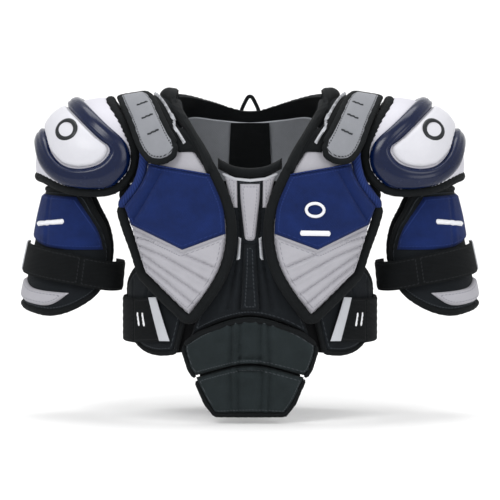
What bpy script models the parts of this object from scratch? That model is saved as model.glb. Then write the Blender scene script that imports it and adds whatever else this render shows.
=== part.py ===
"""Ice hockey shoulder pads, as an assembly of separate foam, fabric and plastic pieces.

Sizes are in millimetres, and MM turns them into Blender's metres. The wearer faces -Y, and the
wearer's left side is +X. The origin lies on the middle plane, at the height where the yoke rests on
the wearer's shoulders. Outlines are flat patterns: each is drawn on a pattern plane and wrapped on a
body surface, then thickened along that surface's normal. A closed outline is a list of pattern
points, and a point with a third member is a sharp corner.
"""

import math

import bmesh
import bpy
from mathutils import Vector
from mathutils.geometry import delaunay_2d_cdt, intersect_point_line

MM = 0.001

# Overall sizes: the outlines below are a senior medium, and are graded from it to these two.
OVERALL_WIDTH = 612.0
OVERALL_HEIGHT = 430.0
GRADE_WIDTH = 612.0
GRADE_HEIGHT = 430.0

# The wearer's body, which every inner layer lies on.
CHEST_DEPTH = 112.0
BACK_DEPTH = 100.0
WAIST_HALF_WIDTH = 168.0
SHOULDER_HALF_WIDTH = 215.0
SECTION_POWER = 2.3
SHOULDER_START = -120.0
SHOULDER_TOP = 8.0
SHOULDER_SLOPE = 0.16
NECK_RISE = 32.0
NECK_HALF_WIDTH = 95.0

# Layers, measured outwards from the body.
LAYER_GAP = 2.0
UNDER_LAYER = 8.0
FOAM = 12.0
COVER = 3.0
RIB_COVER = 3.8
FLAP = 7.0
COLLAR = 9.0
BINDING_RADIUS = 5.2
SEAM_GAP = 1.0

# Shoulder caps: an ellipsoid round each shoulder joint.
CAP_X = 195.0
CAP_Z = -75.0
CAP_RADII = (93.0, 90.0, 91.0)
CAP_TILT = 45.0
CAP_LINER = 8.0
CAP_RING = 6.8
CAP_DOME = 5.0
CAP_BINDING_RADIUS = 5.0
CAP_HINGE = (174.0, 12.5)
LACE_RADIUS = 2.2
LACE_LENGTH = 16.0

# Upper arm guards: an oval sleeve that widens downwards.
ARM_TOP = -105.0
ARM_WIDEST = -235.0
ARM_X_TOP = 221.0
ARM_X_WIDEST = 241.0
ARM_RX_TOP = 53.0
ARM_RX_WIDEST = 61.0
ARM_RY_TOP = 54.0
ARM_RY_WIDEST = 62.0
ARM_FOAM = 8.0
ARM_COVER = 2.6
LINK_X = 262.0
LINK_THICK = 2.4
LINK_WIDTH = 24.0
LINK_TOP = -84.0
LINK_BOTTOM = -132.0

# Straps.
WEBBING = 2.4
HOOK_PILE = 3.0

# Back.
SPINE_FACE_Y = 124.0

# Joint axes that aren't set above: (y, z), or (x, y) for the straps' upright ones.
BACK_HINGE_Z = 20.0
BELLY_MIDDLE_HINGE = (-120.5, -270.0)
BELLY_LOWER_HINGE = (-117.5, -334.0)
FLAP_HINGE = (-15.5, 20.0)
SIDE_TAB_HINGE = (157.0, -58.5)
ARM_TAB_HINGE = (222.5, -64.5)
ARM_FLEX_Z = -100.0

# The loop that the set is hung up by.
LOOP_HALF_WIDTH = 12.5
LOOP_HEIGHT = 24.0
LOOP_THICK = 6.0
LOOP_DEPTH = 3.4

COLOURS = {
    "blue_fabric": ((0.035, 0.075, 0.36), 0.75, 0.0),
    "silver_fabric": ((0.62, 0.62, 0.65), 0.55, 0.0),
    "black_fabric": ((0.012, 0.014, 0.016), 0.8, 0.0),
    "black_binding": ((0.02, 0.025, 0.025), 0.7, 0.0),
    "white_shell": ((0.78, 0.78, 0.8), 0.4, 0.0),
    "blue_plastic": ((0.01, 0.04, 0.3), 0.18, 0.0),
    "grey_fabric": ((0.42, 0.42, 0.45), 0.6, 0.0),
    "webbing": ((0.01, 0.01, 0.012), 0.85, 0.0),
}


# ---------------------------------------------------------------- grading and curves


def wide(x):
    return x * OVERALL_WIDTH / GRADE_WIDTH


def high(z):
    return z * OVERALL_HEIGHT / GRADE_HEIGHT


def clear(distance):
    """A distance on a pattern that stays at least as long as this once the pattern is graded down."""
    return distance / min(1.0, OVERALL_WIDTH / GRADE_WIDTH, OVERALL_HEIGHT / GRADE_HEIGHT)


def mix(a, b, t):
    return a + (b - a) * t


def ease(t):
    t = min(max(t, 0.0), 1.0)
    return t * t * (3 - 2 * t)


def catmull(p0, p1, p2, p3, t):
    return [
        0.5 * (2 * b + (c - a) * t + (2 * a - 5 * b + 4 * c - d) * t * t + (3 * b - a - 3 * c + d) * t**3)
        for a, b, c, d in zip(p0, p1, p2, p3)
    ]


def resample(points, step, closed):
    """Points at even spacing along a polyline, about one step apart."""
    line = points + points[:1] if closed else points
    lengths = [0.0]
    for a, b in zip(line, line[1:]):
        lengths.append(lengths[-1] + math.dist(a, b))
    count = max(2, round(lengths[-1] / step))
    result = []
    k = 0
    for i in range(count if closed else count + 1):
        target = lengths[-1] * i / count
        while k < len(lengths) - 2 and lengths[k + 1] < target:
            k += 1
        t = (target - lengths[k]) / max(lengths[k + 1] - lengths[k], 1e-9)
        result.append([mix(a, b, t) for a, b in zip(line[k], line[k + 1])])
    return result


def smooth_run(points, step):
    """A smooth open curve through the points."""
    padded = [points[0]] + points + [points[-1]]
    fine = []
    for a, b, c, d in zip(padded, padded[1:], padded[2:], padded[3:]):
        fine += [catmull(a, b, c, d, i / 8) for i in range(8)]
    return resample(fine + [points[-1]], step, False)


def outline(points, step):
    """A closed outline through the points, smooth except at its corners."""
    plain = [list(p[:2]) for p in points]
    corners = [i for i, p in enumerate(points) if len(p) == 3]
    n = len(plain)
    if not corners:
        fine = []
        for i in range(n):
            around = [plain[(i + k) % n] for k in (-1, 0, 1, 2)]
            fine += [catmull(*around, j / 8) for j in range(8)]
        return resample(fine, step, True)
    result = []
    for i, start in enumerate(corners):
        end = corners[(i + 1) % len(corners)]
        count = (end - start) % n or n
        run = [plain[(start + k) % n] for k in range(count + 1)]
        result += smooth_run(run, step)[:-1]
    return result


def area(points):
    return sum(a[0] * b[1] - b[0] * a[1] for a, b in zip(points, points[1:] + points[:1])) / 2


def grown(points, distance):
    """A closed polygon moved outwards by a distance."""
    sign = 1 if area(points) > 0 else -1
    n = len(points)
    result = []
    for i in range(n):
        a, b, c = (Vector(points[(i + k) % n]) for k in (-1, 0, 1))
        first = (b - a).normalized()
        second = (c - b).normalized()
        normal = Vector((first.y + second.y, -first.x - second.x)) * sign
        normal.normalize()
        spread = max(0.5, normal.dot(Vector((first.y, -first.x)) * sign))
        result.append(list(b + normal * (distance / spread)))
    return result


def inside(point, polygon):
    x, y = point
    found = False
    for (ax, ay), (bx, by) in zip(polygon, polygon[1:] + polygon[:1]):
        if (ay > y) != (by > y) and x < (bx - ax) * (y - ay) / (by - ay) + ax:
            found = not found
    return found


def edge_distance(point, polygon):
    best = 1e9
    here = Vector((*point, 0))
    for a, b in zip(polygon, polygon[1:] + polygon[:1]):
        foot, share = intersect_point_line(here, Vector((*a, 0)), Vector((*b, 0)))
        foot = foot if 0 <= share <= 1 else Vector((*(a if share < 0 else b), 0))
        best = min(best, (here - foot).length)
    return best


# ---------------------------------------------------------------- body surfaces


def depth_at(z, back):
    """How far the wearer's front or back lies from the middle plane."""
    z = min(z, high(SHOULDER_START))
    bulge = math.sin(math.pi * ease((high(SHOULDER_START) - z) / high(280.0)))
    return (BACK_DEPTH - 3 * bulge) if back else (CHEST_DEPTH + 6 * bulge)


def half_width_at(z):
    t = ease((z - high(-220.0)) / high(160.0))
    return wide(mix(WAIST_HALF_WIDTH, SHOULDER_HALF_WIDTH, t))


def top_at(x):
    x = abs(x)
    neck = high(NECK_RISE) * max(0.0, 1 - (x / wide(NECK_HALF_WIDTH)) ** 2)
    return high(SHOULDER_TOP) + neck - SHOULDER_SLOPE * max(0.0, x - wide(100.0))


def torso(x, z, back):
    start = high(SHOULDER_START)
    share = min(abs(x) / half_width_at(z), 0.999)
    y = depth_at(z, back) * (1 - share**SECTION_POWER) ** (1 / SECTION_POWER)
    if z > start:
        y *= math.sqrt(max(0.0, 1 - ((z - start) / (top_at(x) - start)) ** 2))
    return Vector((x, y if back else -y, z))


def front(u, v):
    return torso(wide(u), high(v), False)


def rear(u, v):
    return torso(wide(u), high(v), True)


def over_shoulder(u, v):
    """u is across the shoulder, and v in degrees: 0 at the chest, 90 on top and 180 at the back."""
    angle = math.radians(v)
    start = high(SHOULDER_START)
    x = wide(u)
    z = start + (top_at(x) - start) * math.sin(angle)
    share = min(abs(x) / half_width_at(z), 0.999)
    y = (1 - share**SECTION_POWER) ** (1 / SECTION_POWER) * math.cos(angle)
    return Vector((x, -y * depth_at(start, v > 90), z))


def round_waist(u, v):
    """u in degrees round the body, 0 at the front and 90 at the wearer's left side."""
    angle = math.radians(u)
    z = high(v)
    power = 2 / SECTION_POWER
    x = half_width_at(z) * math.sin(angle) ** power
    y = depth_at(z, u > 90) * abs(math.cos(angle)) ** power
    return Vector((x, y if u > 90 else -y, z))


def cap_point(u, v):
    """u in degrees from the front over the cap's crown (90) to its back, v towards the neck."""
    turn = math.radians(u)
    lean = math.radians(v)
    tilt = math.radians(CAP_TILT)
    crown = math.cos(lean) * math.sin(turn)
    side = math.sin(lean)
    x = crown * math.cos(tilt) - side * math.sin(tilt)
    z = crown * math.sin(tilt) + side * math.cos(tilt)
    y = -math.cos(lean) * math.cos(turn)
    return Vector(
        (wide(CAP_X) + x * wide(CAP_RADII[0]), y * CAP_RADII[1], high(CAP_Z) + z * high(CAP_RADII[2]))
    )


def arm_share(z):
    return (ARM_TOP - z) / (ARM_TOP - ARM_WIDEST)


def arm_point(u, v):
    """u in degrees round the arm, 0 at its outer side and 90 at its front."""
    t = arm_share(v)
    angle = math.radians(u)
    x = mix(ARM_X_TOP, ARM_X_WIDEST, t) + mix(ARM_RX_TOP, ARM_RX_WIDEST, t) * math.cos(angle)
    y = mix(ARM_RY_TOP, ARM_RY_WIDEST, t) * math.sin(angle)
    return Vector((wide(x), -y, high(v)))


# Each surface with its scale: millimetres for one unit of u and of v.
FRONT = (front, 1.0, 1.0)
REAR = (rear, 1.0, 1.0)
SHOULDER = (over_shoulder, 1.0, 1.9)
WAIST = (round_waist, 2.3, 1.0)
CAP = (cap_point, 1.6, 1.6)
ARM = (arm_point, 1.0, 1.0)


def normal_of(surface, u, v):
    """The surface's normal, away from the body's inside."""
    shape = surface[0]
    step = 0.05
    across = shape(u + step, v) - shape(u - step, v)
    along = shape(u, v + step) - shape(u, v - step)
    normal = across.cross(along).normalized()
    centre = {front: (0, 0), rear: (0, 0), over_shoulder: (0, 0), round_waist: (0, 0)}.get(shape)
    here = shape(u, v)
    if centre:
        outward = Vector((here.x * 0.2, here.y, max(0.0, here.z - high(SHOULDER_START))))
    elif shape is cap_point:
        outward = here - Vector((wide(CAP_X), 0, high(CAP_Z)))
    else:
        middle = mix(ARM_X_TOP, ARM_X_WIDEST, arm_share(v))
        outward = Vector((here.x - wide(middle), here.y, 0))
    return normal if normal.dot(outward) > 0 else -normal


def placed(surface, u, v, offset):
    return surface[0](u, v) + normal_of(surface, u, v) * offset


# ---------------------------------------------------------------- making objects


def material(name):
    found = bpy.data.materials.get(name)
    if found:
        return found
    colour, roughness, metallic = COLOURS[name]
    made = bpy.data.materials.new(name)
    made.use_nodes = True
    shader = made.node_tree.nodes["Principled BSDF"]
    shader.inputs["Base Color"].default_value = (*colour, 1)
    shader.inputs["Roughness"].default_value = roughness
    shader.inputs["Metallic"].default_value = metallic
    made.diffuse_color = (*colour, 1)
    return made


def make(name, points, faces, slot, side=1):
    """One closed object from points in millimetres. A side of -1 mirrors it to the wearer's right."""
    mesh = bpy.data.meshes.new(name)
    mesh.from_pydata([(p[0] * side * MM, p[1] * MM, p[2] * MM) for p in points], [], faces)
    shape = bmesh.new()
    shape.from_mesh(mesh)
    bmesh.ops.recalc_face_normals(shape, faces=shape.faces)
    if shape.calc_volume(signed=True) < 0:
        bmesh.ops.reverse_faces(shape, faces=shape.faces)
    shape.to_mesh(mesh)
    shape.free()
    mesh.shade_smooth()
    mesh.set_sharp_from_angle(angle=math.radians(40))
    made = bpy.data.objects.new(name, mesh)
    made.data.materials.append(material(slot))
    bpy.context.scene.collection.objects.link(made)
    return made


def pattern(points, surface, step):
    """The outline and its inner points on the pattern plane, in millimetres, with their triangles."""
    _, scale_u, scale_v = surface
    rim = outline([(p[0] * scale_u, p[1] * scale_v, *p[2:]) for p in points], step)
    low = [min(p[k] for p in rim) for k in (0, 1)]
    high_corner = [max(p[k] for p in rim) for k in (0, 1)]
    inner = []
    row = 0
    y = low[1] + step / 2
    while y < high_corner[1]:
        x = low[0] + step * (0.25 if row % 2 else 0.75)
        while x < high_corner[0]:
            if inside((x, y), rim) and edge_distance((x, y), rim) > 0.55 * step:
                inner.append([x, y])
            x += step
        y += step * 0.87
        row += 1
    flat = [Vector(p) for p in rim + inner]
    result = delaunay_2d_cdt(flat, [], [list(range(len(rim)))], 1, 1e-5)
    verts, faces = result[0], [f for f in result[2] if len(f) == 3]
    edges = {}
    for f in faces:
        for a, b in zip(f, f[1:] + f[:1]):
            edges[(a, b)] = True
    border = [(a, b) for a, b in edges if (b, a) not in edges]
    return [(p.x / scale_u, p.y / scale_v) for p in verts], faces, border


def slab(name, points, surface, low, high_offset, slot, step=16.0, side=1, flat_y=None):
    """A sheet of even thickness cut to an outline. flat_y, if given, planes its outer face there."""
    plan, faces, border = pattern(points, surface, step)
    n = len(plan)
    inner = [placed(surface, u, v, low) for u, v in plan]
    outer = [placed(surface, u, v, high_offset) for u, v in plan]
    if flat_y is not None:
        outer = [Vector((p.x, flat_y, p.z)) for p in outer]
    solid = [list(f) for f in faces]
    solid += [[n + i for i in reversed(f)] for f in faces]
    solid += [[b, a, n + a, n + b] for a, b in border]
    return make(name, outer + inner, solid, slot, side)


def both(name, points, surface, low, high_offset, slot, step=16.0):
    for label, side in (("left", 1), ("right", -1)):
        slab(f"{name}_{label}", points, surface, low, high_offset, slot, step, side)


def tube_between(rings, closed):
    """Faces that join rings of points, with caps unless the rings close on themselves."""
    sides = len(rings[0])
    count = len(rings)
    faces = []
    for i in range(count if closed else count - 1):
        j = (i + 1) % count
        for k in range(sides):
            m = (k + 1) % sides
            faces.append([i * sides + k, i * sides + m, j * sides + m, j * sides + k])
    if not closed:
        faces.append(list(range(sides)))
        faces.append([(count - 1) * sides + k for k in reversed(range(sides))])
    return [p for ring in rings for p in ring], faces


def binding(name, points, surface, height, radius, slot, step=13.0, sides=6):
    """A rolled edge tape that runs round an outline, just outside it."""
    _, scale_u, scale_v = surface
    rim = outline([(p[0] * scale_u, p[1] * scale_v, *p[2:]) for p in points], step)
    path = grown(rim, clear(radius + SEAM_GAP))
    centres = [placed(surface, u / scale_u, v / scale_v, height) for u, v in path]
    normals = [normal_of(surface, u / scale_u, v / scale_v) for u, v in path]
    n = len(centres)
    rings = []
    for i in range(n):
        along = (centres[(i + 1) % n] - centres[i - 1]).normalized()
        across = along.cross(normals[i]).normalized()
        up = across.cross(along).normalized()
        turn = [2 * math.pi * k / sides for k in range(sides)]
        rings.append([centres[i] + (across * math.cos(a) + up * math.sin(a)) * radius for a in turn])
    solid, faces = tube_between(rings, True)
    for label, side in (("left", 1), ("right", -1)):
        make(f"{name}_{label}", solid, faces, slot, side)


def band(name, inner_rim, outer_rim, surface, low, high_offset, slot, count=44, across=2):
    """A closed ring between two outlines on a surface."""
    _, scale_u, scale_v = surface

    def rim_points(points):
        scaled = [(p[0] * scale_u, p[1] * scale_v) for p in points]
        fine = outline(scaled, 2.0)
        middle = [sum(p[k] for p in fine) / len(fine) for k in (0, 1)]
        first = max(range(len(fine)), key=lambda i: fine[i][1] - abs(fine[i][0] - middle[0]))
        fine = fine[first:] + fine[:first]
        total = sum(math.dist(a, b) for a, b in zip(fine, fine[1:] + fine[:1]))
        return resample(fine, total / count, True)

    inside_rim = rim_points(inner_rim)
    outside_rim = rim_points(outer_rim)
    rings = []
    for a, b in zip(inside_rim, outside_rim):
        row = [[mix(p, q, k / across) for p, q in zip(a, b)] for k in range(across + 1)]
        top = [placed(surface, u / scale_u, v / scale_v, high_offset) for u, v in row]
        bottom = [placed(surface, u / scale_u, v / scale_v, low) for u, v in row]
        rings.append(top + bottom[::-1])
    solid, faces = tube_between(rings, True)
    for label, side in (("left", 1), ("right", -1)):
        make(f"{name}_{label}", solid, faces, slot, side)


def mirrored(points, about):
    """A pattern's points followed by their mirror image, which closes it."""
    back = [(2 * about - p[0], *p[1:]) for p in reversed(points)]
    return points + [p for p in back if abs(p[0] - about) > 1e-6]


# ---------------------------------------------------------------- patterns

CHEST_EDGE = [
    (82, -40, "c"), (67, -60), (50, -87), (33, -125), (28, -163), (34, -200), (49, -232),
    (77, -271, "c"), (106, -243), (132, -216, "c"), (141, -185), (153, -152), (161, -125, "c"),
    (142, -102), (134, -80), (132, -58), (135, -40, "c"),
]
BLUE_PANEL = [
    (51, -87, "c"), (76, -83), (99, -80), (129, -74, "c"), (132, -86), (141, -103), (158, -125, "c"),
    (149, -149, "c"), (85, -183, "c"), (31, -162, "c"), (35, -125),
]
RIB_PANEL = [
    (32, -166, "c"), (85, -187, "c"), (147, -155, "c"), (138, -185), (129, -214, "c"),
    (77, -265, "c"), (52, -231), (38, -200),
]
WING = [
    (28, -262, "c"), (46, -205, "c"), (60, -208), (74, -224), (82, -238), (82, -262), (76, -290),
    (60, -312), (46, -320), (34, -318, "c"),
]
SIDE_TAB = [(44, -247, "c"), (63.2, -250, "c"), (63.2, -309, "c"), (35.5, -303, "c")]
SIDE_ELASTIC = [(64.8, -250, "c"), (115, -250, "c"), (115, -309, "c"), (64.8, -309, "c")]
YOKE_FRONT = [(90, 51.5, "c"), (94, 88, "c"), (166, 88, "c"), (150, 66), (136, 51.5, "c")]
YOKE_BACK = [(94, 92, "c"), (90, 126, "c"), (140, 126, "c"), (152, 112), (166, 92, "c")]
COLLAR_FRONT_SIDE = [
    (44, 15, "c"), (48, 20), (57, 27.5), (68, 36.6), (79, 49), (88, 64), (94, 88, "c"), (119, 88, "c"),
    (108, 74), (94, 53), (80, 37), (67, 25), (56, 15, "c"),
]
CLAVICLE_FLAP = [
    (92, 28, "c"), (104, 39), (116, 53), (127, 69), (138, 82, "c"), (166, 82, "c"), (158, 66), (147, 48),
    (138, 33), (127, 24.5), (113, 22), (100, 23.5),
]
BACK_COLLAR_HALF = [
    (0, 150), (62, 142), (96, 123), (118, 104), (119, 92, "c"), (94, 92, "c"), (86, 106), (52, 125), (0, 136),
]
STERNUM_HALF = [
    (28, -90, "c"), (26, -125), (24, -163), (30, -200), (44, -232), (66, -262), (80, -299, "c"),
    (44, -279), (0, -269),
]
STERNUM_PLATE_HALF = [(11, -99, "c"), (5.5, -172, "c")]
STERNUM_RIDGE_HALF = [(6, -176, "c"), (11, -262, "c")]
BELLY_MID_HALF = [
    (0, -271.5), (44, -281.5), (86, -305, "c"), (86, -318), (79, -340), (72, -349, "c"), (25, -336), (0, -333),
]
BELLY_LOW_HALF = [
    (0, -335.5), (25, -338.5), (72, -352, "c"), (66, -366), (57, -384), (46, -400, "c"), (0, -398),
]
NECK_FRONT_HALF = [(0, -76), (22, -73), (40, -65, "c"), (40, -78, "c"), (22, -86), (0, -89)]
BACK_LINER_HALF = [
    (0, -16), (45, -12), (82, -8), (104, -22), (128, -58), (126, -110), (128, -180), (146, -244),
    (147, -300), (120, -324), (0, -330),
]
BACK_PAD = [
    (32, -46, "c"), (60, -40), (86, -34), (110, -44), (128, -64), (124, -110), (126, -180), (142, -238),
    (142, -262, "c"), (34, -262, "c"), (34, -150),
]
KIDNEY_PAD = [(34, -266, "c"), (142, -266, "c"), (142, -298), (118, -318), (34, -324, "c")]
SPINE_PAD_HALF = [(14, -50, "c"), (25, -74), (25, -290), (14, -314, "c")]
SPINE_STRIP_HALF = [(27, -14, "c"), (32, -150), (32, -316, "c")]
CAP_EDGE_HALF = [
    (90, 48), (66, 46), (28, 41.5), (5, 35), (-11, 26.5), (-20, 12), (-19, -7), (-5, -24), (18, -39),
    (63, -50), (90, -52),
]
RING_OUTER_HALF = [
    (90, 26), (61.7, 27.5), (24, 28), (5, 29), (-5, 27), (-13, 21), (-17.8, 12), (-18.6, 2), (-16.5, -8.5),
    (-2, -24.5), (18, -36), (46, -38.5), (70, -31), (90, -28),
]
RING_INNER_HALF = [
    (90, 13.5), (52, 14), (20, 14.6), (9, 16), (3.5, 12), (3, 0), (12, -14), (26, -22), (44, -22),
    (62, -16.5), (90, -12.5),
]
ARM_EDGE_HALF = [
    (0, -107), (50, -106), (90, -112), (112, -138), (132, -164), (143, -196), (134, -233),
    (108, -256), (75, -268), (40, -264), (0, -258),
]
ARM_COVER_PANEL = [
    (-82, -117.5, "c"), (0, -114.5), (82, -117.5, "c"), (116, -158), (128, -187, "c"), (60, -184), (0, -172),
    (-60, -184), (-128, -187, "c"), (-116, -158),
]
ARM_CRESCENT = [
    (-92, -243, "c"), (-40, -238), (0, -226), (40, -238), (92, -243, "c"), (70, -259), (36, -257), (0, -251),
    (-36, -257), (-70, -259),
]
ARM_TAB = [(-8, -178, "c"), (50, -184), (101, -194, "c"), (101, -233, "c"), (50, -224), (-8, -216, "c")]
ARM_BAND = [
    (103.5, -194.5, "c"), (145, -202), (215, -202, "c"), (215, -241, "c"), (145, -241), (103.5, -233.5, "c"),
]


def symmetric(half):
    """A pattern drawn on the wearer's left, with its mirror image in the middle plane."""
    return mirrored(half, 0.0)


# ---------------------------------------------------------------- pieces


def chest():
    top = FOAM + LAYER_GAP
    both("chest_pad", CHEST_EDGE, FRONT, 0, FOAM, "silver_fabric", 20)
    both("chest_blue_panel", BLUE_PANEL, FRONT, top, top + COVER, "blue_fabric", 20)
    both("chest_rib_panel", RIB_PANEL, FRONT, top, top + RIB_COVER, "silver_fabric", 20)
    binding("chest_binding", CHEST_EDGE, FRONT, FOAM / 2 + 2, BINDING_RADIUS, "black_binding", 16)


def centre_front():
    low = -LAYER_GAP - UNDER_LAYER
    plate = 0
    slab("sternum_pad", symmetric(STERNUM_HALF), FRONT, low, -LAYER_GAP, "black_fabric", 20)
    slab("sternum_plate", symmetric(STERNUM_PLATE_HALF), FRONT, plate, plate + COVER, "silver_fabric", 14)
    slab("sternum_ridge", symmetric(STERNUM_RIDGE_HALF), FRONT, plate, plate + RIB_COVER, "black_fabric", 14)
    slab("neck_front_band", symmetric(NECK_FRONT_HALF), FRONT, -LAYER_GAP, FOAM / 2, "black_binding", 12)
    slab("belly_pad_middle", symmetric(BELLY_MID_HALF), FRONT, low, LAYER_GAP, "black_fabric", 20)
    slab("belly_pad_lower", symmetric(BELLY_LOW_HALF), FRONT, low, LAYER_GAP, "black_fabric", 20)


def sides():
    wing_top = -LAYER_GAP
    tab = wing_top + HOOK_PILE
    both("side_wing", WING, WAIST, wing_top - UNDER_LAYER + 1, wing_top, "black_fabric", 18)
    both("side_strap_tab", SIDE_TAB, WAIST, tab, tab + WEBBING, "webbing", 14)
    both("side_strap_elastic", SIDE_ELASTIC, WAIST, tab, tab + WEBBING, "webbing", 16)


def shoulders():
    top = FOAM + LAYER_GAP
    flap = top + COVER + LAYER_GAP
    both("yoke_front", YOKE_FRONT, SHOULDER, 0, FOAM, "black_fabric", 18)
    both("collar_front", COLLAR_FRONT_SIDE, SHOULDER, top, top + COLLAR, "black_binding", 15)
    both("clavicle_flap", CLAVICLE_FLAP, SHOULDER, flap, flap + FLAP, "grey_fabric", 15)


def back():
    top = FOAM + LAYER_GAP
    both("yoke_back", YOKE_BACK, SHOULDER, 0, FOAM, "black_fabric", 18)
    slab("collar_back", symmetric(BACK_COLLAR_HALF), SHOULDER, top, top + COLLAR, "black_binding", 15)
    slab("back_liner", symmetric(BACK_LINER_HALF), REAR, -4.0, -LAYER_GAP, "silver_fabric", 26)
    strip = symmetric(SPINE_STRIP_HALF)
    slab("spine_strip", strip, REAR, -4.0 - LAYER_GAP - WEBBING, -4.0 - LAYER_GAP, "webbing", 26)
    both("back_pad", BACK_PAD, REAR, 0, FOAM, "black_fabric", 24)
    both("kidney_pad", KIDNEY_PAD, REAR, 0, FOAM, "black_fabric", 24)
    slab("spine_pad", symmetric(SPINE_PAD_HALF), REAR, 0, FOAM, "black_fabric", 26, 1, SPINE_FACE_Y)


def hang_loop():
    """A webbing arch that stands on the back of the collar."""
    collar_top = FOAM + LAYER_GAP + COLLAR + LAYER_GAP
    foot = placed(SHOULDER, 0, 140, collar_top) + Vector((0, 0, LOOP_DEPTH * 0.7))
    outer, inner = [], []
    arc = [math.radians(a) for a in range(0, 181, 30)]
    for radius, rim in ((LOOP_HALF_WIDTH, outer), (LOOP_HALF_WIDTH - LOOP_THICK, inner)):
        rise = LOOP_HEIGHT - LOOP_HALF_WIDTH
        rim.append((radius, 0))
        rim += [(radius * math.cos(a), rise + radius * math.sin(a)) for a in arc]
        rim.append((-radius, 0))
    rings = []
    for (ax, az), (bx, bz) in zip(outer, inner):
        corners = [(ax, az, -1), (ax, az, 1), (bx, bz, 1), (bx, bz, -1)]
        rings.append([foot + Vector((x, y * LOOP_DEPTH / 2, z)) for x, z, y in corners])
    solid, faces = tube_between(rings, False)
    make("hang_loop", solid, faces, "webbing")


def caps():
    edge = mirrored(CAP_EDGE_HALF, 90.0)
    both("cap_liner", edge, CAP, -CAP_LINER, 0, "white_shell", 15)
    inner = mirrored(RING_INNER_HALF, 90.0)
    outer = mirrored(RING_OUTER_HALF, 90.0)
    band("cap_ring", inner, outer, CAP, LAYER_GAP, LAYER_GAP + CAP_RING, "blue_plastic")
    shrunk = [(90 + (u - 90) * 0.975, (v - 1) * 0.9 + 1) for u, v in inner]
    both("cap_dome", shrunk, CAP, LAYER_GAP, LAYER_GAP + CAP_DOME, "white_shell", 15)
    binding("cap_binding", edge, CAP, -CAP_LINER / 2, CAP_BINDING_RADIUS, "black_binding", 15)
    x, z = wide(CAP_HINGE[0]), high(CAP_HINGE[1])
    rings = []
    for end in (-1, 1):
        turn = [2 * math.pi * k / 10 for k in range(10)]
        centre = Vector((x, end * LACE_LENGTH / 2, z))
        rings.append([centre + Vector((math.cos(a), 0, math.sin(a))) * LACE_RADIUS for a in turn])
    solid, faces = tube_between(rings, False)
    for label, side in (("left", 1), ("right", -1)):
        make(f"cap_hinge_lace_{label}", solid, faces, "webbing", side)


def arms():
    edge = mirrored(ARM_EDGE_HALF, 0.0)
    cover = LAYER_GAP
    tab = cover + ARM_COVER + LAYER_GAP
    both("arm_pad", edge, ARM, -ARM_FOAM, 0, "black_fabric", 17)
    both("arm_blue_panel", ARM_COVER_PANEL, ARM, cover, cover + ARM_COVER, "blue_fabric", 15)
    both("arm_crescent", ARM_CRESCENT, ARM, cover, cover + ARM_COVER, "silver_fabric", 15)
    both("arm_strap_tab", ARM_TAB, ARM, tab, tab + WEBBING, "webbing", 14)
    both("arm_strap_band", ARM_BAND, ARM, tab, tab + WEBBING, "webbing", 14)
    x, half, thick = wide(LINK_X), LINK_WIDTH / 2, LINK_THICK / 2
    rings = []
    for z in (LINK_TOP, LINK_BOTTOM):
        corners = [(-thick, -half), (thick, -half), (thick, half), (-thick, half)]
        rings.append([Vector((x + a, b, high(z))) for a, b in corners])
    solid, faces = tube_between(rings, False)
    for label, side in (("left", 1), ("right", -1)):
        make(f"arm_link_{label}", solid, faces, "webbing", side)


# ---------------------------------------------------------------- joints


def hinge(name, where, pieces, parent=None):
    """An empty on a joint's axis, in millimetres, that carries the pieces which turn about it."""
    empty = bpy.data.objects.new(name, None)
    empty.empty_display_size = 0.02
    bpy.context.scene.collection.objects.link(empty)
    spot = Vector(where) * MM
    empty["spot"] = list(spot)
    empty.parent = parent
    empty.location = spot - Vector(parent["spot"]) if parent else spot
    for piece in pieces:
        made = bpy.data.objects[piece]
        for vertex in made.data.vertices:
            vertex.co -= spot
        made.parent = empty
    return empty


def hinges():
    back_pieces = ["collar_back", "back_liner", "spine_strip", "spine_pad", "hang_loop"]
    for label in ("left", "right"):
        back_pieces += [f"{name}_{label}" for name in ("yoke_back", "back_pad", "kidney_pad")]
    hinge("back_swing", (0, 0, BACK_HINGE_Z), back_pieces)
    middle = hinge("belly_middle_fold", (0, *BELLY_MIDDLE_HINGE), ["belly_pad_middle"])
    hinge("belly_lower_fold", (0, *BELLY_LOWER_HINGE), ["belly_pad_lower"], middle)
    for label, side in (("left", 1), ("right", -1)):
        flap = (side * wide(150.0), *FLAP_HINGE)
        tab = (side * SIDE_TAB_HINGE[0], SIDE_TAB_HINGE[1], high(-278.0))
        cap = (side * wide(CAP_HINGE[0]), 0, high(CAP_HINGE[1]))
        swing = (side * wide(LINK_X), 0, high(LINK_TOP))
        flex = (side * wide(LINK_X), 0, high(ARM_FLEX_Z))
        peel = (side * ARM_TAB_HINGE[0], ARM_TAB_HINGE[1], high(-213.5))
        hinge(f"clavicle_lift_{label}", flap, [f"clavicle_flap_{label}"])
        hinge(f"side_tab_peel_{label}", tab, [f"side_strap_tab_{label}"])
        cap_parts = [f"cap_{name}_{label}" for name in ("liner", "ring", "dome", "binding")]
        arm_parts = [f"arm_{name}_{label}" for name in ("pad", "blue_panel", "crescent", "strap_band")]
        shoulder = hinge(f"cap_lift_{label}", cap, cap_parts)
        link = hinge(f"arm_swing_{label}", swing, [f"arm_link_{label}"], shoulder)
        arm = hinge(f"arm_flex_{label}", flex, arm_parts, link)
        hinge(f"arm_tab_peel_{label}", peel, [f"arm_strap_tab_{label}"], arm)


def main():
    for old in list(bpy.data.objects):
        bpy.data.objects.remove(old)
    chest()
    centre_front()
    sides()
    shoulders()
    back()
    hang_loop()
    caps()
    arms()
    hinges()


main()
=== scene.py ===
"""The looks of a set of ice hockey shoulder pads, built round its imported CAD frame.

Patterns are in millimetres, drawn flat and wrapped on the same body surfaces as the CAD solids. MM
turns them into metres. A point with a third member is a sharp corner of its outline.
"""

import math

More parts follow.
